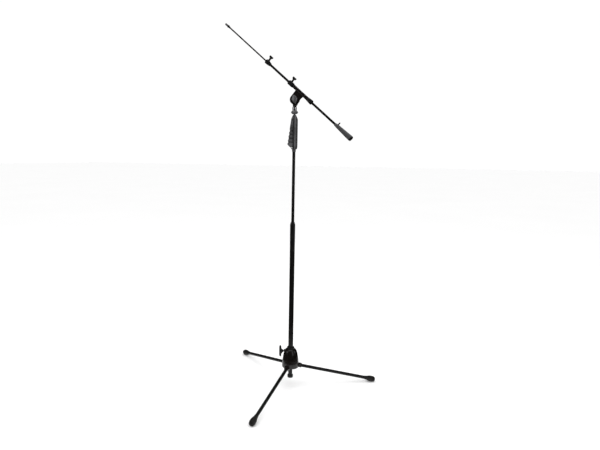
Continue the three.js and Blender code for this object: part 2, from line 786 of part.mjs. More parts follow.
// the moving half of the tilt joint and the sleeve that the boom slides through
function boomClamp() {
  const back = CLAMP_CHEEK - CHEEK_PLATE;
  const cheek = alongY(rod(JOINT_RADIUS, back, CLAMP_CHEEK, FINE));
  const neck = block([-JOINT_RADIUS, JOINT_RADIUS], [back, CLAMP_CHEEK], [0, BOOM_OFFSET]);
  const bridge = block([-21, 21], [-7, CLAMP_CHEEK], [JOINT_RADIUS + 1.6, BOOM_OFFSET]);
  const tube = atBoom(alongX(rod(SLEEVE_RADIUS, -SLEEVE_HALF, SLEEVE_HALF, ROUND)));
  const reach = SLEEVE_HALF + SPIGOT_LENGTH;
  const spigot = atBoom(alongX(rod(SPIGOT_RADIUS, -reach, reach, ROUND)));
  const bore = atBoom(alongX(rod(BOOM_BORE, -80, 80, ROUND)));
  const bolt = alongY(rod(BOLT_RADIUS + GAP, -20, 20));
  const body = cut(join(cheek, neck, bridge, tube, spigot), bore, bolt);
  return piece("boom_clamp", body, BLACK_CAST);
}

function screwWay(x) {
  const hole = rod(KNOB_SCREW_RADIUS + GAP, 2, BOOM_COLLAR_RADIUS + 10);
  return hole.translate(x, 0, 0);
}

function screwBoss(x) {
  return rod(5, 6, KNOB_SEAT).translate(x, 0, 0);
}

function frontCollar() {
  const from = SLEEVE_HALF + GAP;
  const socketEnd = SLEEVE_HALF + SPIGOT_LENGTH + GAP;
  const shell = alongX(turned([
    [SPIGOT_RADIUS + GAP, from],
    [SLEEVE_RADIUS, from],
    [BOOM_COLLAR_RADIUS, from + 6],
    [BOOM_COLLAR_RADIUS, FRONT_COLLAR_END - 2],
    [BOOM_COLLAR_RADIUS - 2, FRONT_COLLAR_END],
    [BOOM_BORE, FRONT_COLLAR_END],
    [BOOM_BORE, socketEnd],
    [SPIGOT_RADIUS + GAP, socketEnd],
    [SPIGOT_RADIUS + GAP, from],
  ]));
  const bore = alongX(rod(BOOM_BORE, 30, 90, ROUND));
  const body = cut(join(shell, screwBoss(FRONT_KNOB_X)), bore, screwWay(FRONT_KNOB_X));
  return piece("boom_front_collar", atBoom(body), BLACK_PLASTIC);
}

function rearCollar() {
  const from = -SLEEVE_HALF - GAP;
  const socketEnd = -SLEEVE_HALF - SPIGOT_LENGTH - GAP;
  const shell = turned([
    [BOOM_BORE, REAR_COLLAR_END],
    [BOOM_COLLAR_RADIUS - 1.5, REAR_COLLAR_END],
    [BOOM_COLLAR_RADIUS + 0.3, REAR_COLLAR_END + 2],
    [BOOM_COLLAR_RADIUS + 0.3, REAR_COLLAR_END + 7],
    [SLEEVE_RADIUS, from],
    [SPIGOT_RADIUS + GAP, from],
    [SPIGOT_RADIUS + GAP, socketEnd],
    [BOOM_BORE, socketEnd],
    [BOOM_BORE, REAR_COLLAR_END],
  ]);
  return piece("boom_rear_collar", atBoom(alongX(shell)), BLACK_PLASTIC);
}

function outerTube() {
  const tube = sleeve(OUTER_RADIUS - OUTER_WALL, OUTER_RADIUS, ...OUTER_TUBE);
  return piece("outer_boom_tube", atBoom(alongX(tube)), BLACK_TUBE);
}

// fixed on the outer tube's mouth; its screw grips the inner tube
function endCollar() {
  const [from, to] = END_COLLAR;
  const stop = OUTER_TUBE[1] + GAP;
  const guide = INNER_RADIUS + GAP;
  const shell = alongX(turned([
    [BOOM_BORE, from],
    [BOOM_BORE + 1.2, from],
    [BOOM_COLLAR_RADIUS - 0.3, from + 14],
    [BOOM_COLLAR_RADIUS - 0.1, to - 2],
    [BOOM_COLLAR_RADIUS - 2, to],
    [guide, to],
    [guide, stop],
    [BOOM_BORE, stop],
    [BOOM_BORE, from],
  ]));
  const way = alongX(rod(guide, stop - 1, to + 1));
  const body = cut(join(shell, screwBoss(END_KNOB_X)), way, screwWay(END_KNOB_X));
  return piece("boom_end_collar", atBoom(body), BLACK_PLASTIC);
}

// a small winged knob on a screw that stands square to the boom
function boomKnob(name, x) {
  const seat = KNOB_SEAT + RUN;
  const wing = plate(outline([
    [-3.4, seat],
    [3.4, seat],
    [3.6, seat + 8],
    [7.6, seat + 9],
    [9.4, seat + 11.5],
    [9.4, seat + 15.5],
    [7.6, seat + 18],
    [3, seat + 17],
    [-3, seat + 17],
    [-7.6, seat + 18],
    [-9.4, seat + 15.5],
    [-9.4, seat + 11.5],
    [-7.6, seat + 9],
    [-3.6, seat + 8],
  ]), 7.2, 1);
  const bore = rod(KNOB_SCREW_RADIUS + GAP, seat - 2, seat + 12);
  const knob = piece(name, cut(wing, bore), BLACK_PLASTIC);
  knob.position.set(x, 0, BOOM_OFFSET);
  return knob;
}

function boomKnobScrew(name, x, tip) {
  const screw = piece(name, rod(KNOB_SCREW_RADIUS, tip, KNOB_SEAT + 12, 12), STEEL);
  screw.position.set(x, 0, BOOM_OFFSET);
  return screw;
}

function innerTube() {
  const tube = sleeve(INNER_RADIUS - INNER_WALL, INNER_RADIUS, ...INNER_TUBE, COARSE);
  return piece("inner_boom_tube", atBoom(alongX(tube)), BLACK_TUBE);
}

function tailBush() {
  const bore = INNER_RADIUS - INNER_WALL - GAP;
  const head = OUTER_RADIUS - OUTER_WALL - GAP;
  const start = INNER_TUBE[0];
  const profile = [
    [0, start - 9],
    [head, start - 9],
    [head, start - GAP],
    [bore, start - GAP],
    [bore, start + 8],
    [0, start + 8],
  ];
  return piece("inner_tail_bush", atBoom(alongX(turned(profile, COARSE))), BLACK_PLASTIC);
}

// the dark flange that a clip or adapter seats against
function tipFlange() {
  const grip = INNER_RADIUS + GAP;
  const shank = 2.1;
  const profile = [
    [grip, TIP_SEAT - 13],
    [grip + 0.9, TIP_SEAT - 13],
    [grip + 0.9, TIP_SEAT - 5],
    [5.8, TIP_SEAT - 5],
    [5.8, TIP_SEAT],
    [shank, TIP_SEAT],
    [shank, INNER_TUBE[1] + GAP],
    [grip, INNER_TUBE[1] + GAP],
    [grip, TIP_SEAT - 13],
  ];
  return piece("tip_flange", atBoom(alongX(turned(profile))), BLACK_PLASTIC);
}

function tipStud() {
  const profile = [
    [0, TIP_SEAT - 20],
    [1.8, TIP_SEAT - 20],
    [1.8, TIP_SEAT + GAP],
    [STUD_RADIUS, TIP_SEAT + GAP],
    [STUD_RADIUS, TIP_END - 1],
    [STUD_RADIUS - 1, TIP_END],
    [0, TIP_END],
  ];
  return piece("tip_stud", atBoom(alongX(turned(profile))), CHROME);
}

const WEIGHT_SCREW_X = WEIGHT[1] - 13;

function counterweight() {
  const [end, front] = WEIGHT;
  const body = alongX(turned([
    [8, end + 6 + GAP],
    [WEIGHT_RADIUS, end + 6 + GAP],
    [WEIGHT_RADIUS, end + 14],
    [7.6, front - 8],
    [6.4, front - 1],
    [5.8, front],
    [BOOM_BORE, front],
    [BOOM_BORE, end + 12],
    [8, end + 12],
    [8, end + 6 + GAP],
  ]));
  const boss = rod(3.6, 4, 10.5).translate(WEIGHT_SCREW_X, 0, 0);
  const bore = alongX(rod(BOOM_BORE, end + 12, front + 1, ROUND));
  const way = rod(2 + GAP, 2, 20).translate(WEIGHT_SCREW_X, 0, 0);
  return piece("counterweight", atBoom(cut(join(body, boss), bore, way)), GREY_GRIP);
}

function weightCap() {
  const end = WEIGHT[0];
  const profile = [
    [0, end],
    [WEIGHT_RADIUS - 3, end],
    [WEIGHT_RADIUS - 0.8, end + 1.6],
    [WEIGHT_RADIUS, end + 4],
    [WEIGHT_RADIUS, end + 6],
    [8 - GAP, end + 6],
    [8 - GAP, end + 11],
    [0, end + 11],
  ];
  return piece("counterweight_cap", atBoom(alongX(turned(profile))), BLACK_PLASTIC);
}

function weightScrew() {
  const profile = [
    [0, BOOM_BORE],
    [2, BOOM_BORE],
    [2, 11],
    [4.2, 11],
    [4.2, 18],
    [3.4, 19],
    [0, 19],
  ];
  const screw = piece("counterweight_screw", turned(profile, COARSE), BLACK_PLASTIC);
  screw.position.set(WEIGHT_SCREW_X, 0, BOOM_OFFSET);
  return screw;
}

function boom() {
  const made = group(
    boomClamp(),
    frontCollar(),
    rearCollar(),
    boomKnob("clamp_knob", FRONT_KNOB_X),
    boomKnobScrew("clamp_knob_screw", FRONT_KNOB_X, BOOM_BORE),
    outerTube(),
    endCollar(),
    boomKnob("end_knob", END_KNOB_X),
    boomKnobScrew("end_knob_screw", END_KNOB_X, INNER_RADIUS + GAP),
    innerTube(),
    tailBush(),
    tipFlange(),
    tipStud(),
    counterweight(),
    weightCap(),
    weightScrew(),
  );
  made.position.z = TILT_HEIGHT;
  made.rotation.y = -radians(BOOM_TILT);
  return made;
}

// ---- assembly --------------------------------------------------------------------------------
// the head is turned half round, so that the boom's tip points to -X
function head() {
  const made = group(swivelAdapter(), tiltJoint(), boom());
  made.rotation.z = Math.PI;
  return made;
}

const stand = group(
  tripodBase(),
  pole(),
  squeezeGrip(),
  threadedStud(),
  lockRing(),
  head(),
);

// the origin is on the floor, at the middle of the stand's footprint
const bounds = new THREE.Box3().setFromObject(stand, true);
const middle = bounds.getCenter(new THREE.Vector3());
stand.position.set(-middle.x, -middle.y, -FLOOR);

export default group(stand);
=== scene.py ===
"""A boom microphone stand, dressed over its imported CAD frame: a folding tripod base, a two-section
pole set by a squeeze grip, and a telescoping boom on a tilt joint. Shapes are drawn in millimetres
in the axes of their own assembly, then placed in the row frame, in metres, by the frame's joints."""

import json
import math

import bmesh
import bpy
from mathutils import Matrix, Vector


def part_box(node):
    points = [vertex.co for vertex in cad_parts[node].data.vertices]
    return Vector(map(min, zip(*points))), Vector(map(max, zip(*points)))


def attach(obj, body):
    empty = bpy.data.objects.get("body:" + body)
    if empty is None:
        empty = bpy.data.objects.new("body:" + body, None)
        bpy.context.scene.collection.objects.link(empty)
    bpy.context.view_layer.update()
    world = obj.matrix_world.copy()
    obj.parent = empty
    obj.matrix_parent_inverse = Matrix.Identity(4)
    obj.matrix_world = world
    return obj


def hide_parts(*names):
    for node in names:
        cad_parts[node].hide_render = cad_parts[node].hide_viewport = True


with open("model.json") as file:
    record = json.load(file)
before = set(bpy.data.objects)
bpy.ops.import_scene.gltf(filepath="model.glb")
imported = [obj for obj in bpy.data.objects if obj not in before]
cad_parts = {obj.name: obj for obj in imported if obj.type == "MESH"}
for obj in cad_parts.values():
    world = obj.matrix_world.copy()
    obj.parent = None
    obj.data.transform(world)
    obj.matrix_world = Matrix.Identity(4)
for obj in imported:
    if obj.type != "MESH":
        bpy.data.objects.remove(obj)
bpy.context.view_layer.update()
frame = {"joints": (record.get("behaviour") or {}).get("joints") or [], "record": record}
scene = bpy.context.scene
MM = 0.001
UP = Vector((0, 0, 1))

# ---- driving dimensions, in millimetres ----------------------------------------------------------
# These are the part's own, except where a comment says that the visible piece differs from it.
GAP = 0.3
RUN = 0.4
# Not in the part. Thin dark tubes look thinner than they are in a small picture, so the visible
# ones are this much larger in radius. It isn't a coating that was measured.
TUBE_EXTRA = 0.25
LEG_RADIUS = 7.0
PIN_RADIUS = 2.5
PIN_REACH = 27.0
LEG_REACH = 390.0
LEG_DROP = 86.9
LEG_SLOPE = math.atan2(LEG_DROP, LEG_REACH)
LEG_WALL = 1.0
PIN_TO_FOOT = (LEG_REACH - PIN_REACH) / math.cos(LEG_SLOPE)
FOOT_RADIUS = 13.2
TONGUE_RADIUS = 6.6
TONGUE_HALF = 6.0
# The smoothed hub closes in on its slots, so the visible tongues are smaller than the part's.
TONGUE_RADIUS_SLACK = 0.5
TONGUE_FACE_SLACK = 0.4
ROOT_SHOULDER = 12.0
SLOT_HALF = 7.6
CHEEK = 3.5
POLE_BORE = 11.3
HUB_BOTTOM = 91.0
HUB_TOP = 176.5
HUB_RIM = 39.5
KNOB_HEIGHT = 166.0
KNOB_REACH = 48.5
KNOB_SPAN = 26.0
LOWER_BOTTOM = 100.0
LOWER_RADIUS = 11.0
LOWER_BORE = 9.5
UPPER_RADIUS = 6.5
UPPER_BORE = 5.3
UPPER_LOW = 557.0
UPPER_HIGH = 1126.0
COLLAR_BOTTOM = 677.0
COLLAR_TOP = 772.5
COLLAR_RADIUS = 11.6
GRIP_BOTTOM = 1099.0
GRIP_FLOOR = GRIP_BOTTOM + 5.5
GRIP_SHOULDER = 1231.0
GRIP_TOP = 1250.5
GRIP_RADIUS = 15.3
CHEEKS_BOTTOM = 1192.0
TRIGGER_PIVOT = (10.4, 1226.0)
TRIGGER_EDGE_TOP = 14.3
TRIGGER_EDGE_LOW = 29.8
TRIGGER_WIDEST = 1122.0
TRIGGER_HALF = 9.3
# The part has 4.8: the visible wall reaches further into the housing, to close a slit.
TRIGGER_BACK = 3.2
CHANNEL_HALF = TRIGGER_HALF + 0.5
ROD_RADIUS = 1.5
ROD_HEAD = 1225.0
STUD_RADIUS = 4.7
RING_BOTTOM = 1253.5
RING_TOP = 1267.6
RING_RADIUS = 15.4
NECK_RADIUS = 9.9
TILT_HEIGHT = 1316.4
JOINT_RADIUS = 21.4
JOINT_DROP = 31.0
CHEEK_PLATE = 7.0
JOINT_PLANE = -1.3
BASE_CHEEK = JOINT_PLANE - 1 - CHEEK_PLATE
CLAMP_CHEEK = JOINT_PLANE + 1 + CHEEK_PLATE
BOLT_RADIUS = 4.0
BOOM_OFFSET = 39.0
OUTER_RADIUS = 4.8
OUTER_BORE = 3.8
OUTER_TAIL = -292.0
OUTER_MOUTH = 203.0
INNER_RADIUS = 3.0
INNER_BORE = 2.3
INNER_TAIL = 120.0
INNER_TIP = 475.0
BOOM_BORE = OUTER_RADIUS + GAP
SLEEVE_RADIUS = 7.7
SLEEVE_HALF = 42.0
SPIGOT_RADIUS = 6.4
COLLAR_END = 73.7
BOOM_COLLAR_RADIUS = 10.0
KNOB_SEAT = 13.5
KNOB_SCREW = 2.2
FRONT_KNOB_X = 61.7
END_KNOB_X = 211.1
TIP_SEAT = 481.0
TIP_END = 498.0
WEIGHT_END = -310.7
WEIGHT_FRONT = -212.9
WEIGHT_RADIUS = 11.6
WEIGHT_SCREW_X = WEIGHT_FRONT - 13
# Wider than the part's by 0.4, so that the visible screw stands clear of its hole.
WEIGHT_SCREW_HOLE = 2.7

# ---- where each assembly stands, from the frame ------------------------------------------------
joints = {joint["name"]: joint for joint in frame["joints"]}


def joint_axis(name):
    return Vector(joints[name]["axis"]).normalized()


def joint_point(name):
    return Vector(joints[name]["pos_m"])


def axes(origin, x, z):
    """The placement with these X and Z directions and this origin."""
    y = z.cross(x).normalized()
    turn = Matrix((x.normalized(), y, x.normalized().cross(y))).transposed()
    return Matrix.Translation(origin) @ turn.to_4x4()


def shifted(x=0.0, y=0.0, z=0.0):
    return Matrix.Translation(Vector((x, y, z)) * MM)


TO_X = Matrix.Rotation(math.radians(90), 4, "Y")
TO_Y = Matrix.Rotation(math.radians(-90), 4, "X")
tube_low, tube_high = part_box("lower_tube")
pole_foot = (tube_low + tube_high) / 2
pole_foot.z = tube_low.z - LOWER_BOTTOM * MM
POLE = Matrix.Translation(pole_foot)
KNOB = axes(pole_foot + UP * KNOB_HEIGHT * MM, joint_axis("base_knob_turn"), UP)
GRIP = axes(pole_foot, joint_axis("trigger_squeeze").cross(UP), UP)
tilt_point = joint_point("boom_tilt")
HEAD = axes(tilt_point, -joint_axis("boom_tilt").cross(UP), UP)
BOOM = axes(tilt_point, joint_axis("boom_slide"), joint_axis("clamp_knob_turn"))
BOOM = BOOM @ shifted(z=BOOM_OFFSET)
ALONG_BOOM = BOOM @ TO_X


def leg_frame(number):
    """X runs down the leg from its fold pin, Y is the pin's axis."""
    across = joint_axis(f"leg_fold_{number}")
    level = axes(joint_point(f"leg_fold_{number}"), across.cross(UP), UP)
    return level @ Matrix.Rotation(LEG_SLOPE, 4, "Y")


LEGS = {number: leg_frame(number) for number in (1, 2, 3)}

# ---- shape helpers -------------------------------------------------------------------------------


def rounded(points, edge, closed, steps=5):
    """An outline with its corners rounded: a point is (x, y), or (x, y, its own corner radius)."""
    made = []
    count = len(points)
    for index, point in enumerate(points):
        corner = Vector(point[:2])
        radius = point[2] if len(point) > 2 else edge
        if radius == 0 or (not closed and index in (0, count - 1)):
            made.append(corner)
            continue
        back = Vector(points[index - 1][:2]) - corner
        ahead = Vector(points[(index + 1) % count][:2]) - corner
        half = back.angle(ahead) / 2
        if half > math.radians(89.5):
            made.append(corner)
            continue
        reach = min(radius / math.tan(half), 0.48 * back.length, 0.48 * ahead.length)
        middle = (back.normalized() + ahead.normalized()).normalized()
        centre = corner + middle * (reach / math.cos(half))
        start = corner + back.normalized() * reach - centre
        sweep = start.angle_signed(corner + ahead.normalized() * reach - centre)
        for step in range(steps + 1):
            turn = Matrix.Rotation(-sweep * step / steps, 2)
            made.append(centre + turn @ start)
    return made


def linked(bm, name="work"):
    bmesh.ops.recalc_face_normals(bm, faces=bm.faces)
    mesh = bpy.data.meshes.new(name)
    bm.to_mesh(mesh)
    bm.free()
    made = bpy.data.objects.new(name, mesh)
    scene.collection.objects.link(made)
    return made


def skinned(rings, closed):
    """A skin over rings of points; a ring of one point is a tip."""
    bm = bmesh.new()
    rows = [[bm.verts.new(point) for point in ring] for ring in rings]
    pairs = list(zip(rows, rows[1:]))
    if closed:
        pairs.append((rows[-1], rows[0]))
    sides = max(len(row) for row in rows)
    for low, high in pairs:
        for k in range(sides):
            after = k + 1
            corners = [low[k % len(low)], low[after % len(low)]]
            corners += [high[after % len(high)], high[k % len(high)]]
            corners = list(dict.fromkeys(corners))
            if len(corners) > 2:
                bm.faces.new(corners)
    return linked(bm)


def circle(radius, height, sides):
    if radius < 1e-6:
        return [Vector((0, 0, height))]
    steps = (2 * math.pi * k / sides for k in range(sides))
    return [Vector((radius * math.cos(a), radius * math.sin(a), height)) for a in steps]


def lathe(profile, edge=0.4, closed=False, sides=64):
    """A (radius, height) outline turned about Z, with its corners rounded."""
    points = rounded(profile, edge, closed)
    return skinned([circle(r, z, sides) for r, z in points], closed)


def tube(bore, radius, low, high, edge=0.3, sides=64):
    corners = [(bore, low), (radius, low), (radius, high), (bore, high)]
    return lathe(corners, edge, closed=True, sides=sides)


def rod(radius, low, high, edge=0.0, sides=64):
    return lathe([(0, low), (radius, low), (radius, high), (0, high)], edge, sides=sides)


def block(x, y, z):
    bm = bmesh.new()
    bmesh.ops.create_cube(bm, size=1)
    size = Matrix.Diagonal((x[1] - x[0], y[1] - y[0], z[1] - z[0], 1))
    middle = Matrix.Translation([(span[0] + span[1]) / 2 for span in (x, y, z)])
    bm.transform(middle @ size)
    return linked(bm)


def prism(near_points, far_points):
    """A solid between two outlines that have the same number of points."""
    bm = bmesh.new()
    near = [bm.verts.new(point) for point in near_points]
    far = [bm.verts.new(point) for point in far_points]
    bm.faces.new(near)
    bm.faces.new(far[::-1])
    for k in range(len(near)):
        after = (k + 1) % len(near)
        bm.faces.new([near[k], near[after], far[after], far[k]])
    return linked(bm)


def plate(outline, low, high, edge=0.0):
    """An (x, z) outline given a thickness along Y, from low to high."""
    points = rounded(outline, edge, closed=True)
    return prism([(x, low, z) for x, z in points], [(x, high, z) for x, z in points])


def ball(radii):
    """An ellipsoid."""
    bm = bmesh.new()
    bmesh.ops.create_uvsphere(bm, u_segments=32, v_segments=16, radius=1)
    bm.transform(Matrix.Diagonal((*radii, 1)))
    return linked(bm)


def arch(half, drop, low, high, steps=24):
    """A bar along X, flat below and round on top."""
    turns = [math.pi * k / steps for k in range(steps + 1)]
    section = [(half, -drop)] + [(half * math.cos(a), half * math.sin(a)) for a in turns]
    section.append((-half, -drop))
    return prism([(low, y, z) for y, z in section], [(high, y, z) for y, z in section])


def moved(shape, x=0.0, y=0.0, z=0.0, turn=None):
    """The shape turned, then shifted, in millimetres."""
    shape.data.transform(Matrix.Translation((x, y, z)) @ (turn or Matrix.Identity(4)))
    return shape


def along_x(shape):
    return moved(shape, turn=TO_X)


def along_y(shape):
    return moved(shape, turn=TO_Y)


def baked(shape):
    """The shape with its modifiers applied."""
    graph = bpy.context.evaluated_depsgraph_get()
    mesh = bpy.data.meshes.new_from_object(shape.evaluated_get(graph))
    shape.modifiers.clear()
    shape.data = mesh
    return shape


def combined(shape, others, operation):
    for other in others:
        step = shape.modifiers.new(operation, "BOOLEAN")
        step.operation = operation
        step.solver = "MANIFOLD"
        step.object = other
    baked(shape)
    for other in others:
        bpy.data.objects.remove(other)
    return shape


def joined(shape, *others):
    return combined(shape, others, "UNION")


def cut(shape, *others):
    return combined(shape, others, "DIFFERENCE")


def common(shape, *others):
    return combined(shape, others, "INTERSECT")


def moulded(shape, grain=0.7, rounds=6):
    """Rounds every edge and inner corner, as on a casting or a moulding."""
    cells = shape.modifiers.new("cells", "REMESH")
    cells.mode = "VOXEL"
    cells.voxel_size = grain
    soften = shape.modifiers.new("soften", "SMOOTH")
    soften.factor = 0.5
    soften.iterations = rounds
    return baked(shape)


def threaded(radius, low, high, pitch, depth, sides=40, rings_per_turn=8):
    """A rod with a real screw thread, chamfered at both ends."""
    rings = [[Vector((0, 0, low))]]
    count = round((high - low) / pitch * rings_per_turn)
    for step in range(count + 1):
        height = low + (high - low) * step / count
        lead = min(step, count - step) / rings_per_turn
        limit = radius - depth * max(0.0, 1.2 - 1.6 * lead)
        ring = []
        for k in range(sides):
            share = (height / pitch - k / sides) % 1.0
            wall = radius - depth * abs(2 * share - 1)
            angle = 2 * math.pi * k / sides
            r = min(wall, limit)
            ring.append(Vector((r * math.cos(angle), r * math.sin(angle), height)))
        rings.append(ring)
    rings.append([Vector((0, 0, high))])
    return skinned(rings, closed=False)


# ---- materials -----------------------------------------------------------------------------------


def new_material(name):
    made = bpy.data.materials.new(name)
    made.use_nodes = True
    return made


class Recipe:
    """Lays out the nodes of one material."""

    def __init__(self, material):
        self.material = material
        self.tree = material.node_tree
        self.shader = self.tree.nodes["Principled BSDF"]
        place = self.tree.nodes.new("ShaderNodeTexCoord")
        self.place = place.outputs["Object"]

    def noise(self, scale, detail=3.0, stretch=(1, 1, 1)):
        """Noise with so many features a metre, drawn out where stretch is under one."""
        mapping = self.tree.nodes.new("ShaderNodeMapping")
        mapping.inputs["Scale"].default_value = stretch
        made = self.tree.nodes.new("ShaderNodeTexNoise")
        made.inputs["Scale"].default_value = scale
        made.inputs["Detail"].default_value = detail
        self.tree.links.new(self.place, mapping.inputs["Vector"])
        self.tree.links.new(mapping.outputs["Vector"], made.inputs["Vector"])
        return made.outputs["Fac"]

    def between(self, source, low, high, start=0.35, end=0.65):
        made = self.tree.nodes.new("ShaderNodeMapRange")
        made.inputs["From Min"].default_value = start
        made.inputs["From Max"].default_value = end
        made.inputs["To Min"].default_value = low
        made.inputs["To Max"].default_value = high
        self.tree.links.new(source, made.inputs["Value"])
        return made.outputs["Result"]

    def mixed(self, share, first, second):
        made = self.tree.nodes.new("ShaderNodeMix")
        made.data_type = "RGBA"
        self.tree.links.new(share, made.inputs["Factor"])
        for socket, value in (("A", first), ("B", second)):
            target = next(i for i in made.inputs if i.name == socket and i.type == "RGBA")
            if hasattr(value, "is_output"):
                self.tree.links.new(value, target)
            else:
                target.default_value = (*value, 1)
        return next(o for o in made.outputs if o.type == "RGBA")

    def edges(self, start, end):
        """One along raised edges, where the finish has rubbed thin."""
        made = self.tree.nodes.new("ShaderNodeNewGeometry")
        return self.between(made.outputs["Pointiness"], 0, 1, start, end)

    def colour(self, source):
        self.tree.links.new(source, self.shader.inputs["Base Color"])

    def roughness(self, source):
        self.tree.links.new(source, self.shader.inputs["Roughness"])

    def bump(self, source, depth_mm, strength=1.0):
        made = self.tree.nodes.new("ShaderNodeBump")
        made.inputs["Strength"].default_value = strength
        made.inputs["Distance"].default_value = depth_mm * MM
        self.tree.links.new(source, made.inputs["Height"])
        self.tree.links.new(made.outputs["Normal"], self.shader.inputs["Normal"])

    def fixed(self, **values):
        for name, value in values.items():
            socket = name.replace("_", " ").title().replace("Ior", "IOR")
            self.shader.inputs[socket].default_value = value


def shade(colour, factor):
    return tuple(channel * factor for channel in colour)


def finish(name, colour, gloss, grain=(900, 0.02), vary=0.35, wear=None, stretch=(1, 1, 1), **fixed):
    """A finish: its colour varies softly, its roughness runs over gloss, and grain is its texture."""
    recipe = Recipe(new_material(name))
    clouds = recipe.between(recipe.noise(45, 4, stretch), 0, 1)
    tint = recipe.mixed(clouds, shade(colour, 1 - vary), shade(colour, 1 + vary))
    if wear:
        tint = recipe.mixed(recipe.edges(0.52, 0.62), tint, wear)
    recipe.colour(tint)
    recipe.roughness(recipe.between(recipe.noise(160, 5, stretch), *gloss))
    recipe.bump(recipe.noise(grain[0], 2, stretch), grain[1])
    recipe.fixed(**fixed)
    return recipe.material


LONG = (1, 1, 0.04)
MATERIALS = {
    "gloss_black_cast": finish("gloss_black_cast", (0.0056, 0.0044, 0.0037), (0.14, 0.26), (520, 0.02),
                               wear=(0.018, 0.016, 0.014), specular_ior_level=0.5),
    "black_root": finish("black_root", (0.005, 0.005, 0.005), (0.30, 0.45), (900, 0.03),
                         wear=(0.02, 0.02, 0.02), specular_ior_level=0.4),
    "black_tube": finish("black_tube", (0.0048, 0.0046, 0.0042), (0.28, 0.40), (1100, 0.003),
                         specular_ior_level=0.25),
    "black_plastic": finish("black_plastic", (0.0055, 0.0055, 0.0056), (0.36, 0.50), (1400, 0.02),
                            wear=(0.014, 0.014, 0.014), specular_ior_level=0.35),
    "grey_grip": finish("grey_grip", (0.105, 0.105, 0.109), (0.34, 0.46), (1300, 0.03),
                        wear=(0.16, 0.16, 0.165), specular_ior_level=0.45),
    "weight_coat": finish("weight_coat", (0.060, 0.060, 0.062), (0.34, 0.50), (1200, 0.03),
                          vary=0.5, stretch=LONG, specular_ior_level=0.4),
    "rubber": finish("rubber", (0.0075, 0.007, 0.0066), (0.50, 0.70), (800, 0.04),
                     specular_ior_level=0.35),
    "chrome": finish("chrome", (0.62, 0.62, 0.63), (0.20, 0.28), (600, 0.002), vary=0.05,
                     metallic=1.0),
    "steel": finish("steel", (0.30, 0.30, 0.31), (0.24, 0.40), (1400, 0.01), vary=0.12,
                    stretch=(1, 1, 0.2), metallic=1.0),
    "grey_metal": finish("grey_metal", (0.17, 0.17, 0.175), (0.26, 0.36), (1500, 0.01), vary=0.12,
                         metallic=0.6),
}


def striped(source, name, axis, stops, dark):
    """A copy of a finish with painted shade laid across a piece: stops are (place in mm, share of
    painted shade) in order.
    """
    made = source.copy()
    made.name = name
    recipe = Recipe(made)
    tint = recipe.shader.inputs["Base Color"].links[0].from_socket
    split = recipe.tree.nodes.new("ShaderNodeSeparateXYZ")
    recipe.tree.links.new(recipe.place, split.inputs["Vector"])
    low, high = stops[0][0], stops[-1][0]
    along = recipe.between(split.outputs[axis], 0, 1, low * MM, high * MM)
    ramp = recipe.tree.nodes.new("ShaderNodeValToRGB")
    marks = ramp.color_ramp.elements
    while len(marks) < len(stops):
        marks.new(1.0)
    for mark, (at, share) in zip(marks, stops):
        mark.position = (at - low) / (high - low)
        mark.color = (share, share, share, 1)
    recipe.tree.links.new(along, ramp.inputs["Fac"])
    recipe.colour(recipe.mixed(ramp.outputs["Color"], tint, dark))
    return made


# ---- pieces --------------------------------------------------------------------------------------
node_body = {}
for body_name, members in frame["record"]["behaviour"]["bodies"].items():
    for member in members:
        node_body[member] = body_name
node_slot = {part["node"]: part["material_slot"] for part in frame["record"]["subparts"]}


def piece(node, shape, placement, smooth=38):
    """Stands the shape in for its CAD node: in place, on its body and in its finish."""
    shape.name = node + "_look"
    shape.data.name = shape.name
    shape.data.transform(Matrix.Diagonal((MM, MM, MM, 1)))
    shape.data.polygons.foreach_set("use_smooth", [True] * len(shape.data.polygons))
    shape.data.set_sharp_from_angle(angle=math.radians(smooth))
    shape.data.materials.clear()
    shape.data.materials.append(MATERIALS[node_slot[node]])
    shape.matrix_world = placement
    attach(shape, node_body[node])
    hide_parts(node)
    return shape


# ---- tripod base ---------------------------------------------------------------------------------
BELL = [
    (HUB_RIM, HUB_BOTTOM, 1.2),
    (HUB_RIM, 101, 12),
    (38.8, 112, 30),
    (37.2, 126, 40),
    (35, 140, 40),
    (32.2, 154, 30),
    (29, 165, 18),
    (25.4, 172, 8),
    (18.8, HUB_TOP, 2),
]


def in_leg_axes(number, shape):
    """Takes a shape from a leg's axes to the pole's, in millimetres."""
    place = POLE.inverted() @ LEGS[number]
    place.translation = place.translation / MM
    shape.data.transform(place)
    return shape


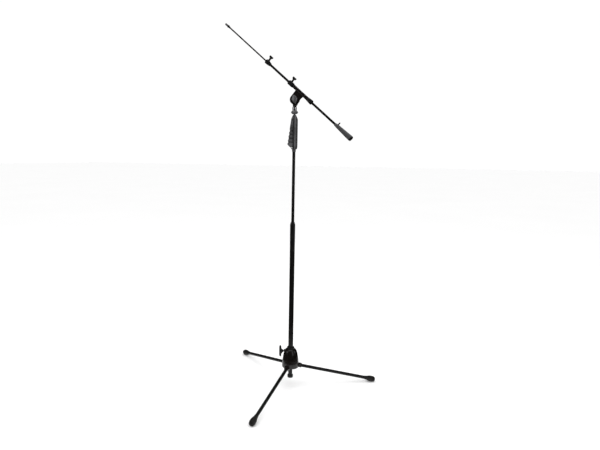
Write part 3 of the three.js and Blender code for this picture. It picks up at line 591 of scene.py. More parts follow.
def leg_hub():
    shell = [(POLE_BORE, 112, 0.6), (15, 112, 0.6), (15, 156, 4), (27.5, 153, 5), (33.5, 131, 20)]
    shell += [(HUB_RIM - 3, 104, 10), (HUB_RIM - 3, HUB_BOTTOM, 0.8), *BELL]
    shell.append((POLE_BORE, HUB_TOP, 0.5))
    body = lathe(shell, closed=True, sides=96)
    outer = SLOT_HALF + CHEEK
    added = []
    removed = []
    for number in LEGS:
        envelope = lathe([(0, HUB_BOTTOM), *BELL, (0, HUB_TOP)], sides=96)
        housing = in_leg_axes(number, block((-13, 13), (-outer, outer), (-9, 14)))
        added.append(common(housing, envelope))
        added.append(in_leg_axes(number, arch(outer, 7, 6, 25)))
        removed.append(in_leg_axes(number, arch(SLOT_HALF, 40, -12, 40)))
        inner = TONGUE_HALF + RUN
        removed.append(in_leg_axes(number, block((-12, 13), (-inner, inner), (-40, 7))))
        removed.append(in_leg_axes(number, along_y(rod(PIN_RADIUS + GAP, -20, 20, sides=32))))
    aim = POLE.inverted() @ KNOB
    aim.translation = aim.translation / MM
    added.append(moved(along_x(rod(8.5, 18, 31.5, 1.5)), turn=aim))
    removed.append(moved(along_x(rod(4.2, 5, 40)), turn=aim))
    removed.append(moved(block((5, 15), (-6.5, 6.5), (-6.5, 6.5)), turn=aim))
    removed.append(rod(POLE_BORE, 60, 200))
    body = cut(joined(body, *added), *removed)
    return moulded(body, grain=0.8, rounds=5)


piece("leg_hub", leg_hub(), POLE)
piece("hub_bush", lathe([(POLE_BORE, HUB_TOP + GAP), (18.6, HUB_TOP + GAP, 0.8), (17.6, 181, 1),
                         (16.6, 182, 0.5), (15.8, 186, 1.4), (POLE_BORE, 186)], closed=True), POLE)


def base_knob():
    inner = KNOB_REACH - 5
    outer = KNOB_REACH + 5
    side = [(KNOB_REACH - 13.5, 5.2, 2), (inner - 4.5, 6.4, 4), (inner, 13, 6)]
    side += [(inner + 0.6, KNOB_SPAN - 2, 2), (inner + 2.5, KNOB_SPAN, 2)]
    side += [(outer - 3, KNOB_SPAN, 3), (outer, KNOB_SPAN - 5, 4)]
    mirrored = [(x, -z, r) for x, z, r in reversed(side)]
    bar = plate([*mirrored, *side], -4.75, 4.75)
    hub = along_x(rod(6.4, KNOB_REACH - 13.5, KNOB_REACH + 3))
    return moulded(cut(joined(bar, hub), along_x(rod(4.2, 30, inner + 4))), grain=0.6, rounds=10)


piece("base_knob", base_knob(), KNOB)
piece("base_knob_screw", along_x(threaded(3.9, 15, KNOB_REACH - 1.5, 1.5, 0.6)), KNOB)
pad = cut(block((8, 14.6), (-6, 6), (-6, 6)), rod(POLE_BORE, -10, 10))
piece("clamp_pad", moulded(pad, grain=0.4, rounds=3), KNOB)


def leg_root():
    radius = TONGUE_RADIUS - TONGUE_RADIUS_SLACK
    half = TONGUE_HALF - TONGUE_FACE_SLACK
    tongue = [(0, radius, 0), (ROOT_SHOULDER + 0.5, radius, 0)]
    tongue += [(ROOT_SHOULDER + 0.5, -radius, 0), (0, -radius, 0)]
    steps = 24
    for step in range(1, steps):
        turn = -math.pi / 2 - math.pi * step / steps
        tongue.append((radius * math.cos(turn), radius * math.sin(turn), 0))
    flat = plate(tongue, -half, half)
    shoulder = along_x(rod(LEG_RADIUS, ROOT_SHOULDER, ROOT_SHOULDER + 4, 0.6))
    spigot = along_x(rod(5.7, ROOT_SHOULDER, ROOT_SHOULDER + 34, 0.5))
    eye = along_y(rod(PIN_RADIUS + GAP, -20, 20, sides=32))
    return moulded(cut(joined(flat, shoulder, spigot), eye), grain=0.5, rounds=3)


def rubber_foot(placement):
    """A drop: a lip, a long flare and a blunt round end, flat where it meets the floor."""
    socket = LEG_RADIUS + GAP
    lip = PIN_TO_FOOT - 34.5
    full = PIN_TO_FOOT - 6
    profile = [(socket, lip), (socket + 1.3, lip, 0.6), (socket + 1.4, lip + 2.5, 0.4)]
    steps = 16
    for step in range(1, steps):
        share = step / steps
        rise = share * share * (3 - 2 * share)
        swell = 0.25 * share + 0.75 * rise
        radius = socket + 1.1 + (FOOT_RADIUS - socket - 1.1) * swell
        profile.append((radius, lip + 2.5 + (full - lip - 2.5) * share, 0))
    profile += [(FOOT_RADIUS, full, 4), (FOOT_RADIUS, PIN_TO_FOOT + 5, 8)]
    profile += [(FOOT_RADIUS - 2.6, PIN_TO_FOOT + 14.2, 6), (FOOT_RADIUS - 8, PIN_TO_FOOT + 16.6, 6)]
    profile += [(0, PIN_TO_FOOT + 16.8, 0), (0, PIN_TO_FOOT - 3.5, 0), (socket, PIN_TO_FOOT - 3.5, 0)]
    foot = along_x(lathe(profile, closed=True, sides=72))
    from_floor = placement.inverted()
    for vertex in foot.data.vertices:
        place = placement @ (vertex.co * MM)
        if place.z < 0:
            place.z = 0
            vertex.co = (from_floor @ place) / MM
    return foot


for number, placement in LEGS.items():
    piece(f"leg_root_{number}", leg_root(), placement)
    leg_ends = (ROOT_SHOULDER + 4 + GAP, PIN_TO_FOOT - 4)
    leg_tube = tube(LEG_RADIUS - LEG_WALL, LEG_RADIUS + TUBE_EXTRA, *leg_ends)
    piece(f"leg_tube_{number}", leg_tube, placement @ TO_X)
    piece(f"rubber_foot_{number}", rubber_foot(placement), placement)
    pin_half = SLOT_HALF + CHEEK - 0.2
    piece(f"leg_pin_{number}", rod(PIN_RADIUS, -pin_half, pin_half, 0.5), placement @ TO_Y)

# ---- pole ----------------------------------------------------------------------------------------
COLLET_WEB = 553.0
COLLET_FOOT = 525.0
COLLET_NARROW = 5.2
COLLET_WIDE = 7.2
CONE_BOTTOM = COLLET_FOOT + 4
CONE_TOP = CONE_BOTTOM + 16
SPRING_SEAT = 1138.0
SHELF = 1160.0
SPRING_RADIUS = 3.1
SPRING_WIRE = 0.5
SPRING_TURNS = 5
# The seat rises when the trigger is squeezed. The part's spring starts 0.8 above it.
SPRING_LOW = SPRING_SEAT + 1.4
SPRING_HIGH = SHELF - 0.8


def collet_bore(height):
    share = (height - COLLET_FOOT) / (COLLET_WEB - COLLET_FOOT)
    return COLLET_NARROW + share * (COLLET_WIDE - COLLET_NARROW)


def lock_collet():
    web = ROD_RADIUS + RUN
    radius = LOWER_BORE - RUN
    seat = UPPER_RADIUS + GAP
    body = lathe([(web, COLLET_WEB), (COLLET_WIDE, COLLET_WEB), (COLLET_NARROW, COLLET_FOOT),
                  (radius, COLLET_FOOT), (radius, 573), (seat, 573), (seat, 556.7), (web, 556.7)],
                 closed=True)
    slits = []
    for turn in (0, 120, 240):
        slit = block((2, 14), (-0.8, 0.8), (COLLET_FOOT - 1, COLLET_WEB - 4))
        slits.append(moved(slit, turn=Matrix.Rotation(math.radians(turn), 4, "Z")))
    return cut(body, *slits)


def spring(radius, wire, turns, low, high):
    """A compression spring whose last turns lie flat at both ends."""
    per_turn = 28
    sides = 10
    flat = 0.75
    rings = []
    count = round((turns + 2 * flat) * per_turn)
    span = high - low
    for step in range(count + 1):
        turned = step / per_turn
        share = min(max((turned - flat) / turns, 0), 1)
        angle = 2 * math.pi * turned
        out = Vector((math.cos(angle), math.sin(angle), 0))
        centre = out * radius + UP * (low + span * share)
        around = (2 * math.pi * k / sides for k in range(sides))
        rings.append([centre + (out * math.cos(a) + UP * math.sin(a)) * wire for a in around])
    rings = [[rings[0][0].lerp(rings[0][sides // 2], 0.5)], *rings]
    rings.append([rings[-1][0].lerp(rings[-1][sides // 2], 0.5)])
    return skinned(rings, closed=False)


piece("lower_tube",
      tube(LOWER_BORE, LOWER_RADIUS + TUBE_EXTRA, LOWER_BOTTOM, COLLAR_BOTTOM, sides=96), POLE)
piece("tube_plug", lathe([
    (0, 37.5), (13.2, 37.5, 1.6), (13.2, 50.5, 1.6), (9.4, 50.5, 1.5), (9.4, 95, 1.2), (11, 97, 0.6),
    (11, 99.7), (9.2, 99.7), (9.2, 120), (0, 120),
], sides=72), POLE)
seat = UPPER_RADIUS + GAP
piece("junction_collar", lathe([
    (seat, 619), (9.2, 619), (9.2, 677.3), (COLLAR_RADIUS, 677.3, 0.8), (COLLAR_RADIUS, 690, 0.6),
    (COLLAR_RADIUS - 0.5, 691, 0.4), (COLLAR_RADIUS - 0.5, 692.5, 0.4), (COLLAR_RADIUS, 693.5, 0.6),
    (COLLAR_RADIUS, COLLAR_TOP - 12, 1.5), (8.6, COLLAR_TOP, 1.2), (seat, COLLAR_TOP, 0.4),
], closed=True, sides=96), POLE)
piece("upper_tube",
      tube(UPPER_BORE, UPPER_RADIUS + TUBE_EXTRA, UPPER_LOW, UPPER_HIGH, sides=72), POLE)
piece("lock_collet", lock_collet(), POLE)
bore = ROD_RADIUS + GAP
piece("lock_cone", lathe([
    (bore, CONE_BOTTOM), (collet_bore(CONE_BOTTOM) - GAP, CONE_BOTTOM),
    (collet_bore(CONE_TOP) - GAP, CONE_TOP), (bore, CONE_TOP),
], closed=True), POLE)
piece("pull_rod", lathe([
    (0, 527), (ROD_RADIUS, 527), (ROD_RADIUS, 1135.5), (4, 1135.5), (4, SPRING_SEAT),
    (ROD_RADIUS, SPRING_SEAT), (ROD_RADIUS, ROD_HEAD), (3.4, ROD_HEAD), (3.4, ROD_HEAD + 3),
    (0, ROD_HEAD + 3),
], edge=0.3, sides=32), POLE)
coil = spring(SPRING_RADIUS, SPRING_WIRE, SPRING_TURNS, SPRING_LOW, SPRING_HIGH)
piece("return_spring", coil, POLE)

# ---- squeeze grip --------------------------------------------------------------------------------
FLARE = (TRIGGER_EDGE_LOW - TRIGGER_EDGE_TOP) / (GRIP_SHOULDER - TRIGGER_WIDEST)


def trigger_edge(height):
    return TRIGGER_EDGE_TOP + FLARE * (GRIP_SHOULDER - height)


def grip_body():
    column = lathe([
        (0, GRIP_BOTTOM), (11, GRIP_BOTTOM, 1), (13.8, GRIP_BOTTOM + 3, 2),
        (GRIP_RADIUS - 0.6, GRIP_BOTTOM + 8, 6), (GRIP_RADIUS, GRIP_BOTTOM + 16, 20),
        (GRIP_RADIUS, GRIP_SHOULDER - 3, 4), (GRIP_RADIUS - 1, GRIP_SHOULDER + 2, 4),
        (10.4, GRIP_SHOULDER + 10.5, 12), (6.2, GRIP_TOP, 1), (0, GRIP_TOP),
    ], sides=96)
    half = CHANNEL_HALF + 3.2
    nose = plate([
        (0, CHEEKS_BOTTOM), (trigger_edge(CHEEKS_BOTTOM), CHEEKS_BOTTOM, 1.5),
        (TRIGGER_EDGE_TOP, GRIP_SHOULDER, 3), (TRIGGER_EDGE_TOP - 3, GRIP_SHOULDER + 3.5, 2),
        (0, GRIP_SHOULDER + 3.5),
    ], -half, half)
    pivot_x, pivot_z = TRIGGER_PIVOT
    eye = moved(along_y(rod(2.3, -20, 20, sides=32)), pivot_x, 0, pivot_z)
    removed = [
        block((4.5, 40), (-30, 30), (GRIP_FLOOR, CHEEKS_BOTTOM)),
        block((-9, 40), (-CHANNEL_HALF, CHANNEL_HALF), (GRIP_FLOOR, GRIP_SHOULDER + 0.2)),
        rod(UPPER_RADIUS + GAP, GRIP_BOTTOM - 5, GRIP_BOTTOM + 20),
        rod(STUD_RADIUS + GAP, GRIP_SHOULDER + 5.5, GRIP_TOP + 5),
        eye,
    ]
    for side in (-1, 1):
        far = side * (half - 2)
        edges = sorted((far, side * 20))
        removed.append(block((4.4, 6.8), edges, (CHEEKS_BOTTOM - 2, GRIP_SHOULDER + 1)))
        recess = along_y(rod(4.6, *edges, sides=32))
        removed.append(moved(recess, pivot_x, 0, pivot_z))
    shelf = cut(block((-11, 6), (-6.3, 6.3), (SHELF, SHELF + 3)), rod(1.9, SHELF - 1, SHELF + 4))
    body = joined(cut(joined(column, moulded(nose, 0.8, 12)), *removed), shelf)
    return moulded(body, grain=0.75, rounds=4)


FINGERS = 4
RIB_TOP = CHEEKS_BOTTOM - 4
RIB_PITCH = (RIB_TOP - TRIGGER_WIDEST) / FINGERS


def trigger():
    pivot_x, pivot_z = TRIGGER_PIVOT
    top = pivot_z + 4.4
    steps = 10
    points = [(TRIGGER_BACK, top - 1.5, 0.5), (TRIGGER_BACK + 2, top, 1), (pivot_x + 1, top, 2)]
    points.append((trigger_edge(top - 3) - 0.4, top - 3, 1.5))
    for step in range(FINGERS * steps + 1):
        height = RIB_TOP - RIB_PITCH * step / steps
        dip = 1.1 * (1 - math.cos(2 * math.pi * step / steps))
        points.append((trigger_edge(height) - dip, height, 0))
    points.append((TRIGGER_EDGE_LOW - 1.6, TRIGGER_WIDEST - 4, 2))
    points += [(15.6, GRIP_FLOOR + 2, 1), (TRIGGER_BACK, GRIP_FLOOR + 2, 0.5)]
    body = plate(points[::-1], -TRIGGER_HALF, TRIGGER_HALF)
    skin = 3.4
    ceiling = 1212
    wall = TRIGGER_HALF - 2.4
    hollow = plate([
        (0, GRIP_BOTTOM), (30, GRIP_BOTTOM), (20, GRIP_BOTTOM + 12), (16.4, GRIP_BOTTOM + 12),
        (TRIGGER_EDGE_LOW - skin - 1.4, TRIGGER_WIDEST - 2),
        (trigger_edge(ceiling) - skin, ceiling), (0, ceiling),
    ], -wall, wall)
    head_room = block((-8, 5.4), (-12, 12), (ROD_HEAD - 0.4, ROD_HEAD + 8))
    arm = block((-4.5, 7.8), (-5, 5), (ROD_HEAD - 5.4, ROD_HEAD - 0.4))
    slot = block((-8, 3.2), (-2.1, 2.1), (1212, ROD_HEAD + 4))
    eye = moved(along_y(rod(2.3, -20, 20, sides=32)), pivot_x, 0, pivot_z)
    body = joined(cut(body, hollow, head_room), arm)
    grooves = []
    for side in (-1, 1):
        edges = sorted((side * (TRIGGER_HALF - 1.6), side * 12))
        grooves.append(block((0, 7.0), edges, (GRIP_FLOOR, CHEEKS_BOTTOM)))
    for finger in range(FINGERS):
        height = RIB_TOP - RIB_PITCH * (finger + 0.5)
        for side in (-1, 1):
            groove = ball((9.5, 3.6, 0.33 * RIB_PITCH))
            lean = Matrix.Rotation(math.radians(-4), 4, "Y")
            grooves.append(moved(groove, trigger_edge(height) - 8.5, side * 11.3, height, lean))
    return moulded(cut(body, slot, eye, *grooves), grain=0.55, rounds=4)


# The grip's darker lines are painted shade over its modelled grooves: down the seam beside the
# trigger, along the column's rounded back, and across the trigger below each finger.
# The colour of the painted shade, mixed into the grip, pin and nut finishes.
PAINTED_SHADE = (0.020, 0.020, 0.021)
# Painted shade across the column: dark down the seam beside the trigger and along the rounded back.
SEAM_SHADE_STOPS = [
    (-14, 0.95), (-8.5, 0.9), (-4.5, 0.15), (-1.5, 0.0), (0.4, 1.0), (4.3, 1.0), (5.2, 0.3), (14, 0.3),
]
RIB_SHADE = 0.9
BETWEEN_RIBS = 0.15
RIB_REACH = 0.34 * RIB_PITCH
# The pin's steel is painted darker all over, as shade in its recess.
PIN_SHADE_STOPS = [(-50, 0.9), (50, 0.9)]
# The nut's grey is painted half-way darker, as shade under the grip.
NUT_SHADE_STOPS = [(1080, 0.5), (1100, 0.5)]
# Painted shade across the trigger: dark at each finger groove, lightly shaded between them.
rib_stops = [(TRIGGER_WIDEST - 20, BETWEEN_RIBS)]
for rib in reversed(range(FINGERS)):
    height = RIB_TOP - RIB_PITCH * (rib + 0.5)
    rib_stops.append((height - RIB_REACH, BETWEEN_RIBS))
    rib_stops.append((height, RIB_SHADE))
    rib_stops.append((height + RIB_REACH, BETWEEN_RIBS))
rib_stops.append((RIB_TOP + 40, BETWEEN_RIBS))


def dressed(made, slot, name, axis, stops):
    """Gives a piece a copy of a slot's finish with painted shade striped across it."""
    made.data.materials[0] = striped(MATERIALS[slot], name, axis, stops, PAINTED_SHADE)


# The grip body's grey carries painted shade down its seam and along its rounded back.
dressed(piece("grip_body", grip_body(), GRIP), "grey_grip", "grey_grip_seam_shade", "X", SEAM_SHADE_STOPS)
# The trigger's grey carries painted shade at each finger groove.
dressed(piece("trigger", trigger(), GRIP), "grey_grip", "grey_grip_rib_shade", "Z", rib_stops)
pin_half = CHANNEL_HALF + 3
pivot = GRIP @ shifted(TRIGGER_PIVOT[0], 0, TRIGGER_PIVOT[1]) @ TO_Y
pin = piece("trigger_pin", rod(2, -pin_half, pin_half, 0.4, sides=32), pivot)
# Painted shade on the pin's steel, for the shade in its recess.
dressed(pin, "steel", "steel_painted_shade", "Z", PIN_SHADE_STOPS)
nut = piece("grip_nut", lathe([
    (seat, 1087, 0.3), (seat + 0.8, 1087, 0.4), (8.8, 1096, 2), (8.8, 1098.7, 0.6), (seat, 1098.7),
], closed=True), GRIP)
# Painted shade on the nut, which sits under the grip's overhang.
dressed(nut, "grey_grip", "grey_grip_under_shade", "Z", NUT_SHADE_STOPS)

# ---- head ----------------------------------------------------------------------------------------
THREAD = (1.5875, 0.8)


def lock_ring():
    """A ring with long sloping shoulders and a milled edge."""
    bevel = 5
    bore = STUD_RADIUS + GAP
    ring = lathe([
        (bore, RING_BOTTOM), (RING_RADIUS - bevel, RING_BOTTOM, 0.6),
        (RING_RADIUS, RING_BOTTOM + bevel, 0.6), (RING_RADIUS, RING_TOP - bevel, 0.6),
        (RING_RADIUS - bevel, RING_TOP, 0.6), (bore, RING_TOP),
    ], closed=True, sides=288)
    for vertex in ring.data.vertices:
        x, y, z = vertex.co
        radius = math.hypot(x, y)
        if radius < RING_RADIUS - 0.9:
            continue
        groove = 0.5 + 0.5 * math.cos(48 * math.atan2(y, x))
        shrink = 1 - 0.45 * groove / radius
        vertex.co = (x * shrink, y * shrink, z)
    return ring


def head_plate():
    """A round cheek that runs down into a foot on the pole axis."""
    foot_half = 7.4
    tangent = math.acos(foot_half / JOINT_RADIUS) - math.radians(17)
    steps = 48
    outline = []
    for step in range(steps + 1):
        turn = -tangent + (math.pi + 2 * tangent) * step / steps
        outline.append((JOINT_RADIUS * math.cos(turn), JOINT_RADIUS * math.sin(turn), 0))
    outline += [(-foot_half, -JOINT_DROP + 3, 0), (foot_half, -JOINT_DROP + 3, 0)]
    return plate(outline, BASE_CHEEK, BASE_CHEEK + CHEEK_PLATE)


def joint_base():
    foot = lathe([(0, -JOINT_DROP), (7.4, -JOINT_DROP, 0.6), (8.4, -JOINT_DROP + 1.4, 1),
                  (8.2, -JOINT_RADIUS - 1.8, 0.6), (0, -JOINT_RADIUS - 1.8)])
    web = lathe([(0, -24), (8, -24), (7.2, -14, 2), (0, -12)])
    web = common(web, block((-30, 30), (-40, BASE_CHEEK + CHEEK_PLATE), (-60, 20)))
    bolt = along_y(rod(BOLT_RADIUS + GAP, -20, 20))
    socket = rod(5 + GAP, -JOINT_DROP - 1, -JOINT_DROP + 6)
    return moulded(cut(joined(head_plate(), foot, web), bolt, socket), grain=0.55, rounds=5)


def lever_blade(base, top):
    """A leaf with pointed ends and a crowned face."""
    low = -21.5
    high = 22
    widest = 1
    half_width = 13.8
    offset = -3
    tip_rise = 1.5
    steps = 40
    section = [(1.0, 0.0), (1.0, 0.15), (0.9, 0.42), (0.72, 0.68), (0.48, 0.87), (0.24, 0.97)]
    section.append((0.0, 1.0))
    section += [(-x, y) for x, y in reversed(section[:-1])]
    rings = [[Vector((offset, base + tip_rise, low))]]
    for step in range(1, steps):
        share = step / steps
        z = low + (high - low) * share
        reach = z - widest
        length, taper = (high - widest, 1.35) if reach > 0 else (widest - low, 1.6)
        half = half_width * (1 - (abs(reach) / length) ** taper)
        rise = (top - base) * (1 - 0.6 * abs(2 * share - 1) ** 2.4)
        rings.append([Vector((x * half + offset, base + y * rise, z)) for x, y in section])
    rings.append([Vector((offset, base + tip_rise, high))])
    return moved(skinned(rings, closed=False), turn=Matrix.Rotation(math.radians(13), 4, "Y"))


def tilt_lever():
    base = CLAMP_CHEEK + RUN
    boss = along_y(lathe([
        (0, base), (9, base, 0.6), (9, base + 3, 1), (7.5, base + 5), (0, base + 5),
    ]))
    bore = along_y(rod(BOLT_RADIUS + GAP, 0, CLAMP_CHEEK + 8.2))
    return moulded(cut(joined(lever_blade(base + 3.2, base + 10), boss), bore), grain=0.4, rounds=3)


piece("threaded_stud", threaded(STUD_RADIUS, GRIP_SHOULDER + 6, RING_TOP + 10, *THREAD), POLE)
piece("lock_ring", lock_ring(), POLE, smooth=50)
adapter_bore = STUD_RADIUS + GAP
joint_foot = TILT_HEIGHT - JOINT_DROP
piece("swivel_adapter", lathe([
    (adapter_bore, RING_TOP + GAP), (NECK_RADIUS, RING_TOP + GAP, 0.8),
    (NECK_RADIUS, 1271.2, 0.5), (NECK_RADIUS - 0.6, 1271.8, 0.3), (NECK_RADIUS - 0.6, 1272.6, 0.3),
    (NECK_RADIUS, 1273.2, 0.5), (NECK_RADIUS, joint_foot - 3, 1),
    (NECK_RADIUS - 1.6, joint_foot - GAP, 0.6), (5, joint_foot - GAP, 0.3),
    (5, joint_foot + 5, 0.5), (0, joint_foot + 5, 0),
    (0, RING_TOP + 12, 0), (adapter_bore, RING_TOP + 12, 0.2),
], closed=True, sides=96), POLE)
piece("joint_base", joint_base(), HEAD)
washer = tube(BOLT_RADIUS + 1, JOINT_RADIUS - 4, JOINT_PLANE - 0.7, JOINT_PLANE + 0.7)
piece("friction_washer", washer, HEAD @ TO_Y)
bolt = threaded(BOLT_RADIUS, BASE_CHEEK - 7.4, CLAMP_CHEEK + 7.8, 1.25, 0.5)
piece("tilt_bolt", bolt, HEAD @ TO_Y)
nut = rod(7.6, BASE_CHEEK - 6.4, BASE_CHEEK - GAP, 0.5, sides=6)
nut = cut(nut, rod(BOLT_RADIUS + GAP, -20, 0, sides=32))
piece("tilt_nut", nut, HEAD @ TO_Y, smooth=20)
piece("tilt_lever", tilt_lever(), HEAD)

# ---- boom ----------------------------------------------------------------------------------------


def boom_clamp():
    """The moving cheek of the tilt joint, its neck, and the sleeve that the boom slides through."""
    drop = -BOOM_OFFSET
    back = CLAMP_CHEEK - CHEEK_PLATE
    cheek = moved(along_y(rod(JOINT_RADIUS, back, CLAMP_CHEEK, sides=96)), z=drop)
    neck = block((-JOINT_RADIUS, JOINT_RADIUS), (back, CLAMP_CHEEK), (drop, 0))
    bridge = block((-20.6, 20.6), (-6.6, CLAMP_CHEEK - 0.3), (JOINT_RADIUS + 2 + drop, 0))
    sleeve = along_x(rod(SLEEVE_RADIUS, -SLEEVE_HALF, SLEEVE_HALF))
    reach = SLEEVE_HALF + 8
    spigot = along_x(rod(SPIGOT_RADIUS, -reach, reach))
    bore = along_x(rod(BOOM_BORE + 0.1, -80, 80))
    bolt = moved(along_y(rod(BOLT_RADIUS + GAP, -20, 20)), z=drop)
    body = cut(joined(cheek, neck, bridge, sleeve, spigot), bore, bolt)
    return moulded(body, grain=0.65, rounds=7)


def screw_boss(x):
    return moved(rod(5, 6, KNOB_SEAT, 0.8), x)


def screw_way(x):
    return moved(rod(2.5, 2, 20, sides=32), x)


def front_collar():
    start = SLEEVE_HALF + GAP
    socket = SLEEVE_HALF + 8 + GAP
    shell = along_x(lathe([
        (SPIGOT_RADIUS + GAP, start), (SLEEVE_RADIUS + 0.3, start, 0.5),
        (BOOM_COLLAR_RADIUS, start + 6, 4), (BOOM_COLLAR_RADIUS, COLLAR_END - 2, 2),
        (BOOM_COLLAR_RADIUS - 2, COLLAR_END, 1), (BOOM_BORE + 0.1, COLLAR_END, 0.4),
        (BOOM_BORE + 0.1, socket), (SPIGOT_RADIUS + GAP, socket),
    ], closed=True, sides=72))
    boss = cut(screw_boss(FRONT_KNOB_X), along_x(rod(BOOM_BORE + 0.1, 30, 90)))
    body = cut(joined(shell, boss), screw_way(FRONT_KNOB_X))
    return moulded(body, grain=0.5, rounds=5)


def end_collar():
    low = 191.3
    high = 221.6
    stop = OUTER_MOUTH + GAP
    guide = INNER_RADIUS + GAP
    shell = along_x(lathe([
        (BOOM_BORE, low), (BOOM_BORE + 1.4, low, 0.4), (BOOM_COLLAR_RADIUS - 0.3, low + 14, 10),
        (BOOM_COLLAR_RADIUS, high - 2, 2), (BOOM_COLLAR_RADIUS - 2, high, 1), (guide, high, 0.4),
        (guide, stop), (BOOM_BORE, stop),
    ], closed=True, sides=72))
    boss = cut(screw_boss(END_KNOB_X), along_x(rod(guide, stop - 20, high + 20)))
    body = cut(joined(shell, boss), screw_way(END_KNOB_X))
    return moulded(body, grain=0.5, rounds=5)


def wing_knob():
    """A small T knob: a waisted stem under a bar with round ends."""
    seat = KNOB_SEAT + RUN
    side = [(3.6, seat, 0.8), (3.2, seat + 6, 2), (6.8, seat + 9, 2.5), (9.4, seat + 11.5, 2)]
    side += [(9.4, seat + 15.5, 2), (7.6, seat + 18, 2), (3, seat + 17, 3)]
    mirrored = [(-x, z, r) for x, z, r in reversed(side)]
    bar = plate([*side, *mirrored][::-1], -3.6, 3.6)
    stem = rod(4.2, seat, seat + 9)
    bore = rod(KNOB_SCREW + GAP, seat - 2, seat + 12, sides=32)
    return moulded(cut(joined(bar, stem), bore), grain=0.4, rounds=7)


piece("boom_clamp", boom_clamp(), BOOM)
piece("boom_front_collar", front_collar(), BOOM)
piece("boom_rear_collar", lathe([
    (BOOM_BORE, -72.6), (8.8, -72.6, 1), (10.3, -70.6, 1.5), (10.3, -65.6, 3), (8.0, -42.3, 0.6),
    (6.7, -42.3), (6.7, -50.3), (BOOM_BORE, -50.3),
], closed=True, sides=96), ALONG_BOOM)
piece("outer_boom_tube",
      tube(OUTER_BORE, OUTER_RADIUS + TUBE_EXTRA, OUTER_TAIL, OUTER_MOUTH), ALONG_BOOM)
piece("boom_end_collar", end_collar(), BOOM)
for name, x, tip in (("clamp_knob", FRONT_KNOB_X, 5.2), ("end_knob", END_KNOB_X, 3.4)):
    piece(name, wing_knob(), BOOM @ shifted(x))
    screw = threaded(KNOB_SCREW, tip, KNOB_SEAT + 12, 0.8, 0.35, sides=32)
    piece(name + "_screw", screw, BOOM @ shifted(x))
piece("inner_boom_tube",
      tube(INNER_BORE, INNER_RADIUS + TUBE_EXTRA, INNER_TAIL, INNER_TIP), ALONG_BOOM)
piece("inner_tail_bush", lathe([
    (0, 111), (3.5, 111), (3.5, 119.7), (2, 119.7), (2, 128), (0, 128),
], edge=0.3, sides=32), ALONG_BOOM)
piece("tip_flange", lathe([
    (3.3, 468, 0.2), (4.2, 468, 0.5), (4.2, 475, 0.8), (5.8, 476.4, 0.7), (5.8, TIP_SEAT, 0.5),
    (2.1, TIP_SEAT), (2.1, 475.3), (3.3, 475.3),
], closed=True, sides=72), ALONG_BOOM)


def tip_stud():
    shank = rod(1.8, TIP_SEAT - 20, TIP_SEAT + 2)
    return joined(threaded(STUD_RADIUS, TIP_SEAT + GAP, TIP_END, *THREAD), shank)


def counterweight():
    """A drop-shaped weight whose wall is open at the back for its cap."""
    body = lathe([
        (8, WEIGHT_END + 6.3), (WEIGHT_RADIUS, WEIGHT_END + 6.3, 0.6),
        (WEIGHT_RADIUS, WEIGHT_END + 14, 30), (7.8, WEIGHT_FRONT - 10, 30),
        (6.3, WEIGHT_FRONT - 1, 1), (5.8, WEIGHT_FRONT, 0.4), (BOOM_BORE, WEIGHT_FRONT),
        (BOOM_BORE, WEIGHT_END + 12), (8, WEIGHT_END + 12),
    ], closed=True, sides=96)
    to_screw = TO_X.inverted()
    boss = moved(rod(3.6, 4, 10.5, 0.6), WEIGHT_SCREW_X)
    boss = cut(boss, along_x(rod(BOOM_BORE, WEIGHT_SCREW_X - 10, WEIGHT_SCREW_X + 10)))
    way = moved(rod(WEIGHT_SCREW_HOLE, 2, 20, sides=32), WEIGHT_SCREW_X)
    return cut(joined(body, moved(boss, turn=to_screw)), moved(way, turn=to_screw))


def thumb_screw():
    """A thin wing on a short screw."""
    stem = rod(2, BOOM_BORE, 12)
    outline = [(-1.5, 10.6, 0), (1.5, 10.6, 0), (1.5, 19, 1), (-1.5, 19, 1)]
    wing = moulded(plate(outline, -5.5, 5.5), grain=0.4, rounds=4)
    return moulded(joined(stem, wing), grain=0.35, rounds=3)


piece("tip_stud", tip_stud(), ALONG_BOOM)
piece("counterweight", counterweight(), ALONG_BOOM)
piece("counterweight_cap", lathe([
    (0, WEIGHT_END), (WEIGHT_RADIUS - 2.4, WEIGHT_END, 2), (WEIGHT_RADIUS, WEIGHT_END + 3, 2.5),
    (WEIGHT_RADIUS, WEIGHT_END + 6, 0.5), (7.7, WEIGHT_END + 6), (7.7, WEIGHT_END + 11),
    (0, WEIGHT_END + 11),
], sides=96), ALONG_BOOM)
piece("counterweight_screw", thumb_screw(), BOOM @ shifted(WEIGHT_SCREW_X))

# ---- floor, light and camera ---------------------------------------------------------------------
FLOOR_HALF = 40.0
CAMERA_TURN = 22.0
SHEET_RADIUS = 0.42


def paper():
    recipe = Recipe(new_material("pale_floor"))
    clouds = recipe.between(recipe.noise(0.8, 2), 0, 1)
    recipe.colour(recipe.mixed(clouds, (0.975, 0.975, 0.975), (0.985, 0.985, 0.985)))
    recipe.fixed(roughness=0.9, specular_ior_level=0.1)
    return recipe.material


def floor():
    """A wide floor and, on it, a sheet that shows in the enamel above it."""
    paper_finish = paper()
    bm = bmesh.new()
    bmesh.ops.create_grid(bm, x_segments=8, y_segments=8, size=FLOOR_HALF)
    wide = linked(bm, "floor")
    wide.location.z = -0.001
    wide.visible_glossy = False
    bm = bmesh.new()
    bmesh.ops.create_circle(bm, cap_ends=True, segments=96, radius=SHEET_RADIUS)
    sheet = linked(bm, "floor_sheet")
    sheet.location = (pole_foot.x, pole_foot.y, -0.0005)
    for part in (wide, sheet):
        part.visible_diffuse = False
        part.data.materials.append(paper_finish)


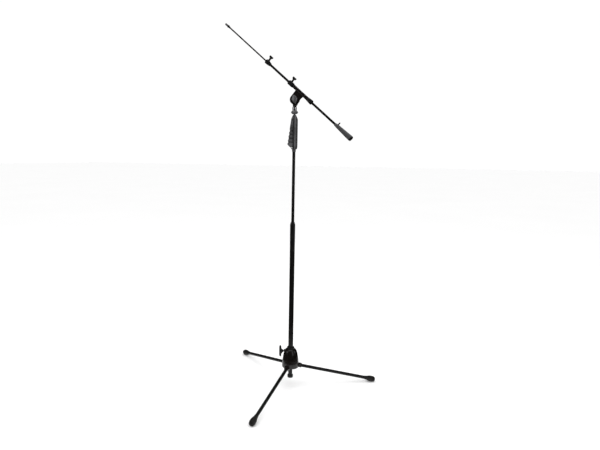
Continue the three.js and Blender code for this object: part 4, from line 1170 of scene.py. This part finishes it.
def softbox(name, turn, distance, height, size, power):
    """A lamp at this many degrees round from the camera's side, aimed at the stand's middle."""
    aim = Vector((0, 0, 0.85))
    angle = math.radians(CAMERA_TURN - 90 + turn)
    place = Vector((math.cos(angle) * distance, math.sin(angle) * distance, height))
    light = bpy.data.lights.new(name, "AREA")
    light.shape = "RECTANGLE"
    light.size, light.size_y = size
    light.energy = power
    made = bpy.data.objects.new(name, light)
    made.location = place
    made.rotation_euler = (place - aim).to_track_quat("Z", "Y").to_euler()
    made.visible_camera = False
    scene.collection.objects.link(made)


def studio():
    """A white backdrop, dim below, that only soft lamps outshine in the enamel."""
    world = bpy.data.worlds.new("studio")
    world.use_nodes = True
    tree = world.node_tree
    backdrop = tree.nodes["Background"]
    backdrop.inputs["Color"].default_value = (1, 1, 1, 1)
    place = tree.nodes.new("ShaderNodeTexCoord")
    split = tree.nodes.new("ShaderNodeSeparateXYZ")
    ramp = tree.nodes.new("ShaderNodeMapRange")
    ramp.inputs["From Min"].default_value = -0.12
    ramp.inputs["From Max"].default_value = -0.02
    ramp.inputs["To Min"].default_value = 0.3
    ramp.inputs["To Max"].default_value = 1.03
    tree.links.new(place.outputs["Generated"], split.inputs["Vector"])
    tree.links.new(split.outputs["Z"], ramp.inputs["Value"])
    tree.links.new(ramp.outputs["Result"], backdrop.inputs["Strength"])
    world.cycles_visibility.glossy = False
    scene.world = world
    scene.view_settings.view_transform = "Standard"
    softbox("key_left", -70, 3.0, 1.9, (1.4, 2.6), 15)
    softbox("key_right", 40, 3.0, 1.7, (1.1, 2.6), 11)
    softbox("side_right", 86, 2.8, 1.5, (0.8, 2.4), 7)
    softbox("top", 180, 0.5, 3.3, (2.4, 1.6), 14)


def camera():
    """Stands to one side of the front, about two thirds of the way up, and looks slightly down."""
    turn = math.radians(CAMERA_TURN)
    pan = math.radians(-3.728)
    pitch = math.radians(6.670)
    roll = math.radians(0.517)
    distance = 2.145
    height = 1.0764
    spin = Matrix.Rotation(turn, 3, "Z")
    level = math.cos(pitch)
    forward = Vector((math.sin(pan) * level, math.cos(pan) * level, -math.sin(pitch)))
    right = forward.cross(UP).normalized()
    above = right.cross(forward)
    right, above = (math.cos(roll) * right + math.sin(roll) * above,
                    math.cos(roll) * above - math.sin(roll) * right)
    look = Matrix((spin @ right, spin @ above, spin @ -forward)).transposed()
    data = bpy.data.cameras.new("camera")
    data.sensor_width = 36
    data.lens = 28.65
    data.shift_x = 0.0633
    data.shift_y = -0.025
    made = bpy.data.objects.new("camera", data)
    eye = pole_foot + spin @ Vector((0, -distance, height))
    made.matrix_world = Matrix.Translation(eye) @ look.to_4x4()
    scene.collection.objects.link(made)
    scene.camera = made


floor()
studio()
camera()
bpy.context.view_layer.update()
